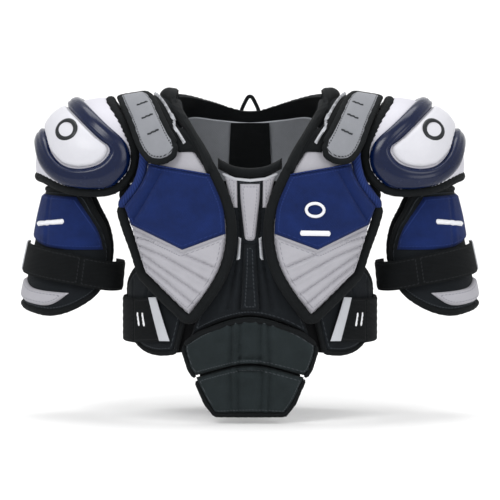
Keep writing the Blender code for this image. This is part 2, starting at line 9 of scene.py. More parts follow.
import bmesh
import bpy
import numpy as np
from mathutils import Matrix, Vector
from mathutils.geometry import delaunay_2d_cdt


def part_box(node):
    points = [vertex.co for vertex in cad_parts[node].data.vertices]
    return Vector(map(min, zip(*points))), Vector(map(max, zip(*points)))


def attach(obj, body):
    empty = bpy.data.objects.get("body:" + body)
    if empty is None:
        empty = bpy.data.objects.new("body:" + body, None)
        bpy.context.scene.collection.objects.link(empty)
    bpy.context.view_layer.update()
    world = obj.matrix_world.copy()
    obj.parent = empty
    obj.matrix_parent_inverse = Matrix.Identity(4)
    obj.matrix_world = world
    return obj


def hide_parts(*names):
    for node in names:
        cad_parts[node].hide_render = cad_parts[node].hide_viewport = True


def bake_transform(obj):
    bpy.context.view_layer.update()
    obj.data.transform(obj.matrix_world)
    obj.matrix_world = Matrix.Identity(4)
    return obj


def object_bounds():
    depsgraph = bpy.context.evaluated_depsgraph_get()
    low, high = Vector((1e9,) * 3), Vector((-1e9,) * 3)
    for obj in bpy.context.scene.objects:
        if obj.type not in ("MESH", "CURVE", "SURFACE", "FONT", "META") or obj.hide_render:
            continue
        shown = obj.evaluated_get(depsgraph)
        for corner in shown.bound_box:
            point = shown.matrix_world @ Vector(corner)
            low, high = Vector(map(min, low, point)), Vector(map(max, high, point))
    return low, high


MM = 0.001
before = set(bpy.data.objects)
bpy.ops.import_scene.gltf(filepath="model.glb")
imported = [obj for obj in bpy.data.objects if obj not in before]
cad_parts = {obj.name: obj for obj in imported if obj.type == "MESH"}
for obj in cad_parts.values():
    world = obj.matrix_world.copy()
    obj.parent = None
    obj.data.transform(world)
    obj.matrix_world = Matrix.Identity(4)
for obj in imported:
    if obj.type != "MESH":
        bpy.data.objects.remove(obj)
CAD_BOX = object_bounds()

# The wearer's body and the layers on it, as in the CAD solids.
CHEST_DEPTH = 112.0
BACK_DEPTH = 100.0
WAIST_HALF_WIDTH = 168.0
SHOULDER_HALF_WIDTH = 215.0
SECTION_POWER = 2.3
SHOULDER_START = -120.0
SHOULDER_TOP = 8.0
SHOULDER_SLOPE = 0.16
NECK_RISE = 32.0
NECK_HALF_WIDTH = 95.0
FOAM = 12.0
GAP = 2.0
CAP_X = 195.0
CAP_Z = -75.0
CAP_RADII = (93.0, 90.0, 91.0)
CAP_TILT = math.radians(45.0)
ARM_TOP = -105.0
ARM_WIDEST = -235.0
ARM_X = (221.0, 241.0)
ARM_RX = (53.0, 61.0)
ARM_RY = (54.0, 62.0)
SPINE_FACE_Y = 1000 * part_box("spine_pad")[1].y

# How finely a panel is meshed, and the cloth step that puffs it.
STEP = 3.2
CLOTH_FRAMES = 14
CLOTH_CAP = 3.0
CLOTH = {
    "quality": 4, "mass": 0.15, "tension_stiffness": 12, "compression_stiffness": 12, "shear_stiffness": 6,
    "bending_stiffness": 0.6, "use_pressure": True, "vertex_group_mass": "held",
}
# A narrow, even tube, for piping and printed rings.
FINE = {"sides": 8, "step": 2.5, "bumps": 0}

CAMERA_DISTANCE = 3.6
CAMERA_HEIGHT = math.radians(3.0)
CAMERA_AIM = (0, -0.06, -0.186)
FILM_WIDTH = 36.0
VIEW_WIDTH = 0.663
FLOOR_GAP = 0.012
WORLD_STRENGTH = 0.78
# Each light: place, aim, size and power.
LIGHTS = {
    "key": ((-1.3, -2.0, 1.7), (0, 0, -0.15), (1.3, 1.0), 34),
    "fill": ((1.6, -1.9, 0.9), (0, 0, -0.15), (1.4, 1.4), 18),
    "backdrop": ((0, 2.2, 2.4), (0, 4.9, 0.1), (3.4, 1.0), 50),
    "top": ((0.0, 0.3, 2.0), (0, 0, -0.1), (1.8, 1.2), 26),
}


# ---------------------------------------------------------------- curves and surfaces


def mix(a, b, t):
    return a + (b - a) * t


def ease(t):
    t = np.clip(t, 0.0, 1.0)
    return t * t * (3 - 2 * t)


def resample(points, step, closed):
    line = np.array(points + points[:1] if closed else points, float)
    lengths = np.concatenate([[0], np.cumsum(np.linalg.norm(np.diff(line, axis=0), axis=1))])
    count = max(2, round(lengths[-1] / step))
    at = np.linspace(0, lengths[-1], count + 1)[: count if closed else count + 1]
    return np.stack([np.interp(at, lengths, line[:, k]) for k in range(line.shape[1])], 1)


def catmull(p0, p1, p2, p3, t):
    spread = zip(p0, p1, p2, p3)
    return [
        0.5 * (2 * b + (c - a) * t + (2 * a - 5 * b + 4 * c - d) * t * t + (3 * b - a - 3 * c + d) * t**3)
        for a, b, c, d in spread
    ]


def smooth_run(points, step):
    padded = [points[0]] + points + [points[-1]]
    fine = []
    for a, b, c, d in zip(padded, padded[1:], padded[2:], padded[3:]):
        fine += [catmull(a, b, c, d, i / 8) for i in range(8)]
    return resample(fine + [points[-1]], step, False)


def outline(points, step):
    """A closed outline through the points, smooth except at its corners."""
    plain = [list(p[:2]) for p in points]
    corners = [i for i, p in enumerate(points) if len(p) == 3]
    n = len(plain)
    if not corners:
        fine = []
        for i in range(n):
            around = [plain[(i + k) % n] for k in (-1, 0, 1, 2)]
            fine += [catmull(*around, j / 8) for j in range(8)]
        return resample(fine, step, True)
    runs = []
    for i, start in enumerate(corners):
        end = corners[(i + 1) % len(corners)]
        count = (end - start) % n or n
        run = [plain[(start + k) % n] for k in range(count + 1)]
        runs.append(smooth_run(run, step)[:-1])
    return np.concatenate(runs)


def distance_to(points, path, closed=False):
    """Each point's distance to a path, in the pattern plane."""
    a = np.asarray(path, float)
    b = np.roll(a, -1, 0) if closed else a[1:]
    a = a if closed else a[:-1]
    along = b - a
    size = np.maximum((along**2).sum(1), 1e-9)
    best = np.full(len(points), 1e9)
    for start, way, square in zip(a, along, size):
        t = np.clip(((points - start) @ way) / square, 0, 1)
        best = np.minimum(best, np.linalg.norm(points - start - t[:, None] * way, axis=1))
    return best


def inside(points, polygon):
    x, y = points[:, 0], points[:, 1]
    found = np.zeros(len(points), bool)
    for (ax, ay), (bx, by) in zip(polygon, np.roll(polygon, -1, 0)):
        if ay == by:
            continue
        crosses = ((ay > y) != (by > y)) & (x < (bx - ax) * (y - ay) / (by - ay) + ax)
        found ^= crosses
    return found


def depth_at(z, back):
    z = np.minimum(z, SHOULDER_START)
    bulge = np.sin(np.pi * ease((SHOULDER_START - z) / 280.0))
    return np.where(back, BACK_DEPTH - 3 * bulge, CHEST_DEPTH + 6 * bulge)


def half_width_at(z):
    return mix(WAIST_HALF_WIDTH, SHOULDER_HALF_WIDTH, ease((z + 220.0) / 160.0))


def top_at(x):
    x = np.abs(x)
    neck = NECK_RISE * np.maximum(0, 1 - (x / NECK_HALF_WIDTH) ** 2)
    return SHOULDER_TOP + neck - SHOULDER_SLOPE * np.maximum(0, x - 100.0)


def section(x, z):
    share = np.minimum(np.abs(x) / half_width_at(z), 0.999)
    return (1 - share**SECTION_POWER) ** (1 / SECTION_POWER)


def torso(x, z, back):
    y = depth_at(z, back) * section(x, z)
    rise = np.clip((z - SHOULDER_START) / (top_at(x) - SHOULDER_START), 0, 1)
    y = y * np.sqrt(1 - rise**2)
    return np.stack([x, y if back else -y, z], 1)


def front(u, v):
    return torso(u, v, False)


def rear(u, v):
    return torso(u, v, True)


def over_shoulder(u, v):
    angle = np.radians(v)
    z = SHOULDER_START + (top_at(u) - SHOULDER_START) * np.sin(angle)
    y = -section(u, z) * np.cos(angle) * depth_at(np.full_like(u, SHOULDER_START), v > 90)
    return np.stack([u, y, z], 1)


def round_waist(u, v):
    angle = np.radians(u)
    power = 2 / SECTION_POWER
    x = half_width_at(v) * np.sin(angle) ** power
    y = depth_at(v, u > 90) * np.abs(np.cos(angle)) ** power
    return np.stack([x, np.where(u > 90, y, -y), v], 1)


def cap_point(u, v):
    turn, lean = np.radians(u), np.radians(v)
    crown, side = np.cos(lean) * np.sin(turn), np.sin(lean)
    x = crown * math.cos(CAP_TILT) - side * math.sin(CAP_TILT)
    z = crown * math.sin(CAP_TILT) + side * math.cos(CAP_TILT)
    y = -np.cos(lean) * np.cos(turn)
    return np.stack([CAP_X + x * CAP_RADII[0], y * CAP_RADII[1], CAP_Z + z * CAP_RADII[2]], 1)


def arm_point(u, v):
    t = (ARM_TOP - v) / (ARM_TOP - ARM_WIDEST)
    angle = np.radians(u)
    x = mix(*ARM_X, t) + mix(*ARM_RX, t) * np.cos(angle)
    return np.stack([x, -mix(*ARM_RY, t) * np.sin(angle), v], 1)


# Each surface with its scale: millimetres for one unit of u and of v.
FRONT = (front, 1.0, 1.0)
REAR = (rear, 1.0, 1.0)
SHOULDER = (over_shoulder, 1.0, 1.9)
WAIST = (round_waist, 2.3, 1.0)
CAP = (cap_point, 1.6, 1.6)
ARM = (arm_point, 1.0, 1.0)


def in_mm(points, surface):
    """Pattern points in millimetres, each keeping its corner mark."""
    return [(p[0] * surface[1], p[1] * surface[2], *p[2:]) for p in points]


def in_units(points, surface):
    """Points in millimetres, back in the surface's own units."""
    return [(p[0] / surface[1], p[1] / surface[2]) for p in points]


def normals_of(surface, u, v):
    shape = surface[0]
    h = 0.05
    across = shape(u + h, v) - shape(u - h, v)
    along = shape(u, v + h) - shape(u, v - h)
    normal = np.cross(across, along)
    normal /= np.maximum(np.linalg.norm(normal, axis=1), 1e-9)[:, None]
    here = shape(u, v)
    if shape is cap_point:
        outward = here - np.array([CAP_X, 0, CAP_Z])
    elif shape is arm_point:
        middle = mix(*ARM_X, (ARM_TOP - v) / (ARM_TOP - ARM_WIDEST))
        outward = np.stack([here[:, 0] - middle, here[:, 1], np.zeros(len(u))], 1)
    else:
        rise = np.maximum(0, here[:, 2] - SHOULDER_START)
        outward = np.stack([here[:, 0] * 0.2, here[:, 1], rise], 1)
    flip = np.sign((normal * outward).sum(1))
    return normal * np.where(flip == 0, 1, flip)[:, None]


def placed(surface, flat, offset):
    """Points of the pattern plane, in millimetres, on the surface and moved off it."""
    u, v = flat[:, 0] / surface[1], flat[:, 1] / surface[2]
    return surface[0](u, v) + normals_of(surface, u, v) * np.reshape(offset, (-1, 1))


# ---------------------------------------------------------------- materials


def node(tree, kind, **inputs):
    """A shader node. i0, i1 and so on are inputs by number, and the rest are settings or inputs by name."""
    made = tree.nodes.new(kind)
    for name, value in inputs.items():
        if name in ("operation", "data_type", "attribute_name"):
            setattr(made, name, value)
            continue
        socket = made.inputs[int(name[1:]) if name[0] == "i" and name[1:].isdigit() else name]
        if isinstance(value, bpy.types.NodeSocket):
            tree.links.new(value, socket)
        else:
            socket.default_value = value
    return made


def calc(tree, operation, *values):
    numbered = {f"i{k}": value for k, value in enumerate(values)}
    return node(tree, "ShaderNodeMath", operation=operation, **numbered).outputs[0]


def blend_colour(tree, share, a, b):
    return node(tree, "ShaderNodeMix", data_type="RGBA", i0=share, i6=a, i7=b).outputs[2]


def rgb(red, green, blue):
    """A colour given in the usual 0 to 255 display values."""
    linear = [((c / 255 + 0.055) / 1.055) ** 2.4 if c > 10 else c / 255 / 12.92 for c in (red, green, blue)]
    return (*linear, 1.0)


def start_material(name, roughness):
    made = bpy.data.materials.new(name)
    made.use_nodes = True
    tree = made.node_tree
    shader = tree.nodes["Principled BSDF"]
    shader.inputs["Roughness"].default_value = roughness
    cloth = node(tree, "ShaderNodeAttribute", attribute_name="cloth")
    split = node(tree, "ShaderNodeSeparateXYZ", Vector=cloth.outputs["Vector"])
    return made, tree, shader, cloth.outputs["Vector"], split


def edge_stitches(tree, split, inset, pitch):
    """A dashed line at a distance from the piece's edge. The third pattern coordinate is that distance."""
    off = calc(tree, "ABSOLUTE", calc(tree, "SUBTRACT", split.outputs["Z"], inset))
    line = calc(tree, "LESS_THAN", off, 0.55)
    run = calc(tree, "ADD", split.outputs["X"], calc(tree, "MULTIPLY", split.outputs["Y"], 0.83))
    wave = calc(tree, "SINE", calc(tree, "MULTIPLY", run, 2 * math.pi / pitch))
    return calc(tree, "MULTIPLY", line, calc(tree, "GREATER_THAN", wave, -0.4))


def fabric(name, colour, weave, roughness, sheen, depth, stitch, rib, tint):
    """Woven cloth: warp and weft with a little dye variation, a painted highlight that makes the raised
    threads lighter, and stitches.
    """
    made, tree, shader, vector, split = start_material(name, roughness)
    turns = 2 * math.pi / weave
    warp = calc(tree, "SINE", calc(tree, "MULTIPLY", split.outputs["X"], turns))
    weft = calc(tree, "SINE", calc(tree, "MULTIPLY", split.outputs["Y"], turns))
    thread = calc(tree, "MULTIPLY", warp, weft)
    if rib:
        thread = calc(tree, "SINE", calc(tree, "MULTIPLY", split.outputs[rib], turns))
    patchy = node(tree, "ShaderNodeTexNoise", Vector=vector, Scale=0.035, Detail=3.0, Roughness=0.6)
    grain = node(tree, "ShaderNodeTexNoise", Vector=vector, Scale=0.9, Detail=4.0, Roughness=0.7)
    dye = rgb(*colour)[:3]
    dark = (*[c * (1 - tint) for c in dye], 1.0)
    light = (*[min(1.0, c * (1 + tint) + 0.002) for c in dye], 1.0)
    # The weave term and, below, the grain speckle lighten the colour where the bump height rises: a painted
    # highlight on the raised threads. The patchy noise adds dye variation.
    share = calc(tree, "MULTIPLY_ADD", thread, 0.22, 0.5)
    mixed = calc(tree, "ADD", share, calc(tree, "SUBTRACT", patchy.outputs["Fac"], 0.5))
    speckle = calc(tree, "MULTIPLY", calc(tree, "SUBTRACT", grain.outputs["Fac"], 0.5), 0.9)
    result = blend_colour(tree, calc(tree, "ADD", mixed, speckle), dark, light)
    height = calc(tree, "ADD", thread, calc(tree, "MULTIPLY", grain.outputs["Fac"], 1.6))
    if stitch:
        inset, thread_colour = stitch
        sewn = edge_stitches(tree, split, inset, 4.2)
        result = blend_colour(tree, sewn, result, rgb(*thread_colour))
        height = calc(tree, "ADD", height, calc(tree, "MULTIPLY", sewn, 2.0))
    tree.links.new(result, shader.inputs["Base Color"])
    bump = node(tree, "ShaderNodeBump", Strength=depth, Distance=0.0004, Height=height)
    tree.links.new(bump.outputs[0], shader.inputs["Normal"])
    shader.inputs["Sheen Weight"].default_value = sheen
    shader.inputs["Sheen Roughness"].default_value = 0.45
    shader.inputs["Specular IOR Level"].default_value = 0.14
    return made


def shell(name, colour, paler_tone, roughness, coat, grain_scale=0.5, depth=0.15):
    """Moulded or coated surface: fine grain, paler towards its edge as a painted highlight, paler clouds at
    random, and uneven gloss.
    """
    made, tree, shader, vector, split = start_material(name, roughness)
    grain = node(tree, "ShaderNodeTexNoise", Vector=vector, Scale=grain_scale, Detail=5.0, Roughness=0.65)
    patch_noise = node(tree, "ShaderNodeTexNoise", Vector=vector, Scale=0.12, Detail=6.0, Roughness=0.75)
    # A painted highlight: paler, in patches, within a few millimetres of the edge, where the rolled rims
    # catch the light.
    near = calc(tree, "SUBTRACT", 1.0, calc(tree, "MULTIPLY", split.outputs["Z"], 0.28))
    near = calc(tree, "MAXIMUM", near, 0.0)
    edge_highlight = calc(tree, "MULTIPLY", near, patch_noise.outputs["Fac"])
    # Paler clouds at random all over, the shell's own uneven tone.
    cloud = calc(tree, "MULTIPLY", calc(tree, "SUBTRACT", patch_noise.outputs["Fac"], 0.45), 0.5)
    share = calc(tree, "MAXIMUM", calc(tree, "ADD", edge_highlight, cloud), 0.0)
    # The colour, mixed towards the paler tone by the painted edge highlight and the random clouds.
    highlight_and_tone = blend_colour(tree, share, rgb(*colour), rgb(*paler_tone))
    tree.links.new(highlight_and_tone, shader.inputs["Base Color"])
    rough = calc(tree, "ADD", calc(tree, "MULTIPLY", patch_noise.outputs["Fac"], 0.22), roughness - 0.1)
    tree.links.new(rough, shader.inputs["Roughness"])
    bump = node(tree, "ShaderNodeBump", Strength=depth, Distance=0.0003, Height=grain.outputs["Fac"])
    tree.links.new(bump.outputs[0], shader.inputs["Normal"])
    shader.inputs["Specular IOR Level"].default_value = 0.28
    shader.inputs["Coat Weight"].default_value = coat
    shader.inputs["Coat Roughness"].default_value = 0.06
    return made


# Each fabric: colour, weave pitch, roughness, sheen, bump, stitches (distance from the edge and colour),
# the axis its ribs cross, and how far its colour spreads, for its dye variation and the painted highlight on
# its raised threads.
FABRICS = {
    "blue_fabric": ((11, 31, 80), 1.9, 0.75, 0.04, 0.7, (4.5, (30, 48, 104)), None, 0.5),
    "silver_fabric": ((158, 157, 163), 1.5, 0.6, 0.08, 0.3, (4.0, (128, 128, 134)), None, 0.1),
    "liner_silver": ((128, 131, 136), 2.4, 0.55, 0.1, 0.5, None, None, 0.2),
    "black_fabric": ((16, 20, 24), 1.5, 0.85, 0.03, 0.5, (5.0, (52, 56, 60)), None, 0.35),
    "belly_fabric": ((32, 39, 41), 1.5, 0.85, 0.02, 0.7, (5.0, (64, 68, 72)), None, 0.35),
    "lining_black": ((10, 11, 13), 2.0, 0.9, 0.0, 0.4, None, None, 0.3),
    "black_binding": ((12, 15, 17), 1.3, 0.85, 0.02, 0.6, None, "X", 0.35),
    "webbing": ((9, 12, 14), 1.7, 0.9, 0.01, 0.8, (3.0, (34, 36, 38)), "Y", 0.35),
    "grey_fabric": ((124, 126, 131), 1.3, 0.5, 0.08, 0.3, (3.5, (26, 28, 30)), None, 0.12),
    "piping": ((178, 180, 185), 1.0, 0.5, 0.1, 0.3, None, "X", 0.1),
}
# Each shell: colour, paler colour (for the painted edge highlight and the random clouds), roughness, coat,
# and where it differs the grain's scale and bump.
SHELLS = {
    "white_shell": ((192, 192, 198), (214, 214, 218), 0.42, 0.06, 0.8, 0.25),
    "cap_liner": ((188, 187, 195), (210, 210, 215), 0.5, 0.03, 1.2, 0.35),
    "blue_plastic": ((0, 13, 46), (2, 24, 66), 0.24, 0.1, 0.3, 0.05),
    "mark_white": ((215, 216, 220), (235, 235, 236), 0.45, 0.1),
    "mark_dark": ((20, 24, 28), (44, 48, 52), 0.4, 0.1),
}
MATERIALS = {name: fabric(name, *look) for name, look in FABRICS.items()}
MATERIALS |= {name: shell(name, *look) for name, look in SHELLS.items()}


# ---------------------------------------------------------------- pieces

TO_SWELL = []
TO_MIRROR = []


def finish_piece(made, body, replaces=(), joint=None):
    """Puts a piece on its body and hides the CAD parts it stands for. joint is (body, start, end); with one,
    the piece is only fixed where it stands.
    """
    if joint:
        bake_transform(made)
    else:
        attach(made, body)
    if replaces:
        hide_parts(*replaces)


def link(made):
    bpy.context.scene.collection.objects.link(made)
    return made


def points_of(mesh):
    points = np.empty(len(mesh.vertices) * 3, np.float32)
    mesh.vertices.foreach_get("co", points)
    return points.reshape(-1, 3)


def mesh_object(name, points, faces, look, coordinates, sharp=50):
    mesh = bpy.data.meshes.new(name)
    mesh.from_pydata((np.asarray(points) * MM).tolist(), [], [list(map(int, f)) for f in faces])
    attribute = mesh.attributes.new("cloth", "FLOAT_VECTOR", "POINT")
    attribute.data.foreach_set("vector", np.asarray(coordinates, np.float32).ravel())
    shape = bmesh.new()
    shape.from_mesh(mesh)
    bmesh.ops.recalc_face_normals(shape, faces=shape.faces)
    if shape.calc_volume(signed=True) < 0:
        bmesh.ops.reverse_faces(shape, faces=shape.faces)
    shape.to_mesh(mesh)
    shape.free()
    mesh.shade_smooth()
    mesh.set_sharp_from_angle(angle=math.radians(sharp))
    made = bpy.data.objects.new(name, mesh)
    made.data.materials.append(MATERIALS[look])
    return link(made)


def mirror_of(made, name):
    """The same piece on the wearer's right."""
    mesh = made.data.copy()
    points = points_of(mesh)
    points[:, 0] *= -1
    mesh.vertices.foreach_set("co", points.ravel())
    mesh.flip_normals()
    return link(bpy.data.objects.new(name, mesh))


def add(made, body, slot, replaces=(), fill=None, joint=None, sides=1, swell=0.0, pins=None):
    """Queues a piece: it is swollen first, then mirrored, then put on its body."""
    if swell:
        TO_SWELL.append((made, swell, pins))
    TO_MIRROR.append((made, body, slot, replaces, fill, joint, sides))
    return made


def sided(name, side):
    return name.replace("*", "left" if side > 0 else "right")


def finish_all():
    for made, body, slot, replaces, fill, joint, sides in TO_MIRROR:
        stem = made.name
        if sides == 2:
            other = mirror_of(made, stem + "_right")
            made.name = stem + "_left"
        for piece, side in ((made, 1), (other, -1)) if sides == 2 else ((made, 1),):
            names = [sided(n, side) for n in replaces]
            across = None
            if joint:
                ends = [(p[0] * side, *p[1:]) for p in joint[1:]]
                across = (sided(joint[0], side), *ends)
            finish_piece(piece, sided(body, side), names, across)


def panel(
    name, points, surface, low, high, look, step=STEP, edge=4.0, rim=0.35, relief=None, flat_y=None, dome=0.0
):
    """A sewn panel: rounded at its rim, crowned by dome, and raised or grooved by relief."""
    edge_line = outline(in_mm(points, surface), step)
    lows, highs = edge_line.min(0), edge_line.max(0)
    rows = np.arange(lows[1] + step / 2, highs[1], step * 0.87)
    grid = []
    for i, y in enumerate(rows):
        xs = np.arange(lows[0] + step * (0.25 if i % 2 else 0.75), highs[0], step)
        grid.append(np.stack([xs, np.full(len(xs), y)], 1))
    grid = np.concatenate(grid)
    grid = grid[inside(grid, edge_line)]
    grid = grid[distance_to(grid, edge_line, True) > 0.5 * step]
    flat = [Vector(p) for p in np.concatenate([edge_line, grid])]
    verts, _, faces, *_ = delaunay_2d_cdt(flat, [], [list(range(len(edge_line)))], 1, 1e-5)
    plan = np.array([(p.x, p.y) for p in verts])
    faces = [f for f in faces if len(f) == 3]
    away = distance_to(plan, edge_line, True)
    t = np.clip(away / edge, 0, 1)
    crown = np.sqrt(1 - (1 - t) ** 2)
    full = away / max(away.max(), 1e-6)
    height = low + (high - low) * mix(rim, 1.0, crown) + dome * np.sin(full * math.pi / 2)
    if relief:
        height = height + relief(plan, away) * np.clip(away / 3.0, 0, 1)
    outer = placed(surface, plan, height)
    inner = placed(surface, plan, np.full(len(plan), low))
    if flat_y is not None:
        outer[:, 1] = mix(outer[:, 1], flat_y + (height - height.max()), np.clip(away / 6.0, 0, 1))
    directed = {(a, b) for f in faces for a, b in zip(f, f[1:] + f[:1])}
    border = [(a, b) for a, b in directed if (b, a) not in directed]
    n = len(plan)
    solid = [list(f) for f in faces] + [[n + i for i in reversed(f)] for f in faces]
    solid += [[b, a, n + a, n + b] for a, b in sorted(border)]
    where = np.concatenate([np.column_stack([plan, away]), np.column_stack([plan, away * 0 - 5])])
    made = mesh_object(name, np.concatenate([outer, inner]), solid, look, where)
    made["outer"] = n
    return made


def grooves(lines, width=1.8, depth=1.6, ridge=0.0):
    """Relief that follows lines on the pattern: a sewn channel with, if asked, a raised lip beside it."""

    def shape(plan, away):
        total = np.zeros(len(plan))
        for line in lines:
            d = distance_to(plan, line)
            total -= depth * np.exp(-((d / width) ** 2))
            total += ridge * np.exp(-(((d - 2.6 * width) / (1.6 * width)) ** 2))
        return total

    return shape


def summed(*shapes):
    return lambda plan, away: sum(s(plan, away) for s in shapes)


def ribs(along, pitch, height):
    """Fine parallel ribs across a direction of the pattern."""
    way = np.array(along, float) / np.linalg.norm(along)

    def shape(plan, away):
        wave = np.sin(2 * math.pi * (plan @ way) / pitch)
        return height * np.abs(wave)

    return shape


def ring_faces(rows, sides, closed=False):
    """The faces of rows of points joined into a tube, capped at both ends unless it closes on itself."""
    faces = []
    for i in range(rows if closed else rows - 1):
        j = (i + 1) % rows
        for k in range(sides):
            m = (k + 1) % sides
            faces.append([i * sides + k, i * sides + m, j * sides + m, j * sides + k])
    if not closed:
        faces.append(list(range(sides)))
        faces.append([(rows - 1) * sides + k for k in reversed(range(sides))])
    return faces


def tube(name, path, surface, height, wide, thick, look, closed=True, sides=12, step=3.5, bumps=0.06):
    """A rolled or stuffed edge tape along a path on the pattern, a little uneven where it is sewn."""
    line = np.asarray(path, float) * np.array([surface[1], surface[2]])
    line = resample([list(p) for p in line], step, closed)
    centres = placed(surface, line, np.full(len(line), height))
    ups = normals_of(surface, line[:, 0] / surface[1], line[:, 1] / surface[2])
    nexts = np.roll(centres, -1, 0) - np.roll(centres, 1, 0)
    if not closed:
        nexts[0] = centres[1] - centres[0]
        nexts[-1] = centres[-1] - centres[-2]
    along = nexts / np.linalg.norm(nexts, axis=1)[:, None]
    across = np.cross(along, ups)
    across /= np.linalg.norm(across, axis=1)[:, None]
    run = np.arange(len(line)) * step
    uneven = 1 + bumps * np.sin(run * 2 * math.pi / 9.0) * np.sin(run * 2 * math.pi / 61.0)
    if not closed:
        ends = np.minimum(run, run[-1] - run) / (wide * 1.2)
        uneven = uneven * np.sqrt(np.clip(mix(0.15, 1, np.minimum(ends, 1)), 0, 1))
    angles = np.arange(sides) * 2 * math.pi / sides
    points, where = [], []
    for i in range(len(line)):
        for k, a in enumerate(angles):
            side = across[i] * math.cos(a) * wide * uneven[i]
            rise = ups[i] * math.sin(a) * thick * uneven[i]
            points.append(centres[i] + side + rise)
            where.append((run[i], k * wide * 0.5, 5.0))
    return mesh_object(name, points, ring_faces(len(line), sides, closed), look, where)


def offset_path(points, surface, distance, step=3.0):
    """The closed outline of a pattern moved outwards, back in the surface's own units."""
    line = outline(in_mm(points, surface), step)
    before, after = line - np.roll(line, 1, 0), np.roll(line, -1, 0) - line
    before /= np.linalg.norm(before, axis=1)[:, None]
    after /= np.linalg.norm(after, axis=1)[:, None]
    total = (line[:, 0] * np.roll(line[:, 1], -1) - np.roll(line[:, 0], -1) * line[:, 1]).sum()
    sign = 1 if total > 0 else -1
    normal = np.stack([before[:, 1] + after[:, 1], -before[:, 0] - after[:, 0]], 1) * sign
    normal /= np.linalg.norm(normal, axis=1)[:, None]
    moved = line + normal * distance
    smooth = (np.roll(moved, 1, 0) + moved * 2 + np.roll(moved, -1, 0)) / 4
    return smooth / np.array([surface[1], surface[2]])


def mirrored(points, about):
    back = [(2 * about - p[0], *p[1:]) for p in reversed(points)]
    return points + [p for p in back if abs(p[0] - about) > 1e-6]


def swell_all():
    """Puffs every padded panel between its seams with a cloth simulation, and keeps the result."""
    scene = bpy.context.scene
    rests = {}
    for made, strength, pins in TO_SWELL:
        count = len(made.data.vertices)
        outer = made["outer"]
        where = np.empty(count * 3, np.float32)
        made.data.attributes["cloth"].data.foreach_get("vector", where)
        where = where.reshape(-1, 3)
        held = np.ones(count)
        held[:outer] = np.clip(1 - (where[:outer, 2] - 3.0) / 4.0, 0, 1)
        for line in pins or []:
            near = distance_to(where[:outer, :2], line)
            held[:outer] = np.maximum(held[:outer], np.clip(1.6 - near / 3.0, 0, 1))
        group = made.vertex_groups.new(name="held")
        for i, weight in enumerate(held):
            if weight > 0:
                group.add([i], float(weight), "REPLACE")
        rests[made.name] = points_of(made.data)
        cloth = made.modifiers.new("Cloth", "CLOTH")
        for setting, value in CLOTH.items():
            setattr(cloth.settings, setting, value)
        cloth.settings.uniform_pressure_force = strength
        cloth.settings.effector_weights.gravity = 0
        cloth.collision_settings.use_collision = False
        cloth.collision_settings.use_self_collision = False
        cloth.point_cache.frame_start = 1
        cloth.point_cache.frame_end = CLOTH_FRAMES
    for i in range(1, CLOTH_FRAMES + 1):
        scene.frame_set(i)
    graph = bpy.context.evaluated_depsgraph_get()
    results = {}
    for made, _, _ in TO_SWELL:
        results[made.name] = points_of(made.evaluated_get(graph).data)
    for made, _, _ in TO_SWELL:
        made.modifiers.clear()
        made.vertex_groups.clear()
        rest = rests[made.name]
        move = results[made.name] - rest
        size = np.linalg.norm(move, axis=1)
        share = np.minimum(1, CLOTH_CAP * MM / np.maximum(size, 1e-9))
        moved = rest + move * share[:, None]
        made.data.vertices.foreach_set("co", moved.astype(np.float32).ravel())
        made.data.update()
    scene.frame_set(1)


# ---------------------------------------------------------------- patterns

CHEST_EDGE = [
    (82, -40, "c"), (67, -60), (50, -87), (33, -125), (28, -163), (34, -200), (49, -232),
    (77, -271, "c"), (106, -243), (132, -216, "c"), (141, -185), (153, -152), (161, -125, "c"),
    (142, -102), (134, -80), (132, -58), (135, -40, "c"),
]
BLUE_PANEL = [
    (51, -87, "c"), (76, -83), (99, -80), (129, -74, "c"), (132, -86), (141, -103), (158, -125, "c"),
    (149, -149, "c"), (85, -183, "c"), (31, -162, "c"), (35, -125),
]
RIB_PANEL = [
    (32, -166, "c"), (85, -187, "c"), (147, -155, "c"), (138, -185), (129, -214, "c"),
    (77, -265, "c"), (52, -231), (38, -200),
]
RIB_LINES = [
    [(149, -163), (112, -176), (41, -208)],
    [(145, -173), (106, -192), (50, -226)],
    [(139, -184), (100, -214), (60, -243)],
    [(133, -199), (100, -228), (70, -254)],
]
BLUE_SEAM = [(112, -82), (145, -142)]
WING = [
    (28, -262, "c"), (46, -205, "c"), (60, -208), (74, -224), (82, -238), (82, -262), (76, -290),
    (60, -312), (46, -320), (34, -318, "c"),
]
SIDE_TAB = [(44, -247, "c"), (63.2, -250, "c"), (63.2, -309, "c"), (35.5, -303, "c")]
SIDE_PULL = [(43.6, -246.5, "c"), (49, -247.5, "c"), (41.5, -304, "c"), (35.2, -303.5, "c")]
SIDE_ELASTIC = [(62.6, -250, "c"), (115, -250, "c"), (115, -309, "c"), (62.6, -309, "c")]
YOKE = [
    (86, 47, "c"), (92, 88), (88, 126, "c"), (142, 126, "c"), (153, 112), (163, 90), (152, 68),
    (138, 47, "c"),
]
COLLAR_INNER_HALF = [
    (43, 13, "c"), (48, 20), (57, 27.5), (68, 36.6), (79, 49), (88, 64), (94, 88), (86, 106), (52, 125),
    (0, 136),
]
COLLAR_OUTER_HALF = [
    (-55, 13, "c"), (-67, 25), (-80, 37), (-94, 53), (-108, 74), (-119, 88), (-118, 104), (-96, 123),
    (-62, 142), (0, 150),
]
BLACK_STRIPE = [
    (68, 25, "c"), (84, 38), (97, 53), (109, 70), (120, 86, "c"), (137, 86, "c"), (126, 69), (114, 53),
    (102, 39), (90, 27, "c"),
]
WHITE_STRIPE = [
    (80, 31, "c"), (92, 43.5), (104, 58.5), (115, 73.5), (123, 86, "c"), (126, 85.4, "c"), (118, 72.7),
    (107, 57.7), (95, 42.7), (83, 30.2, "c"),
]
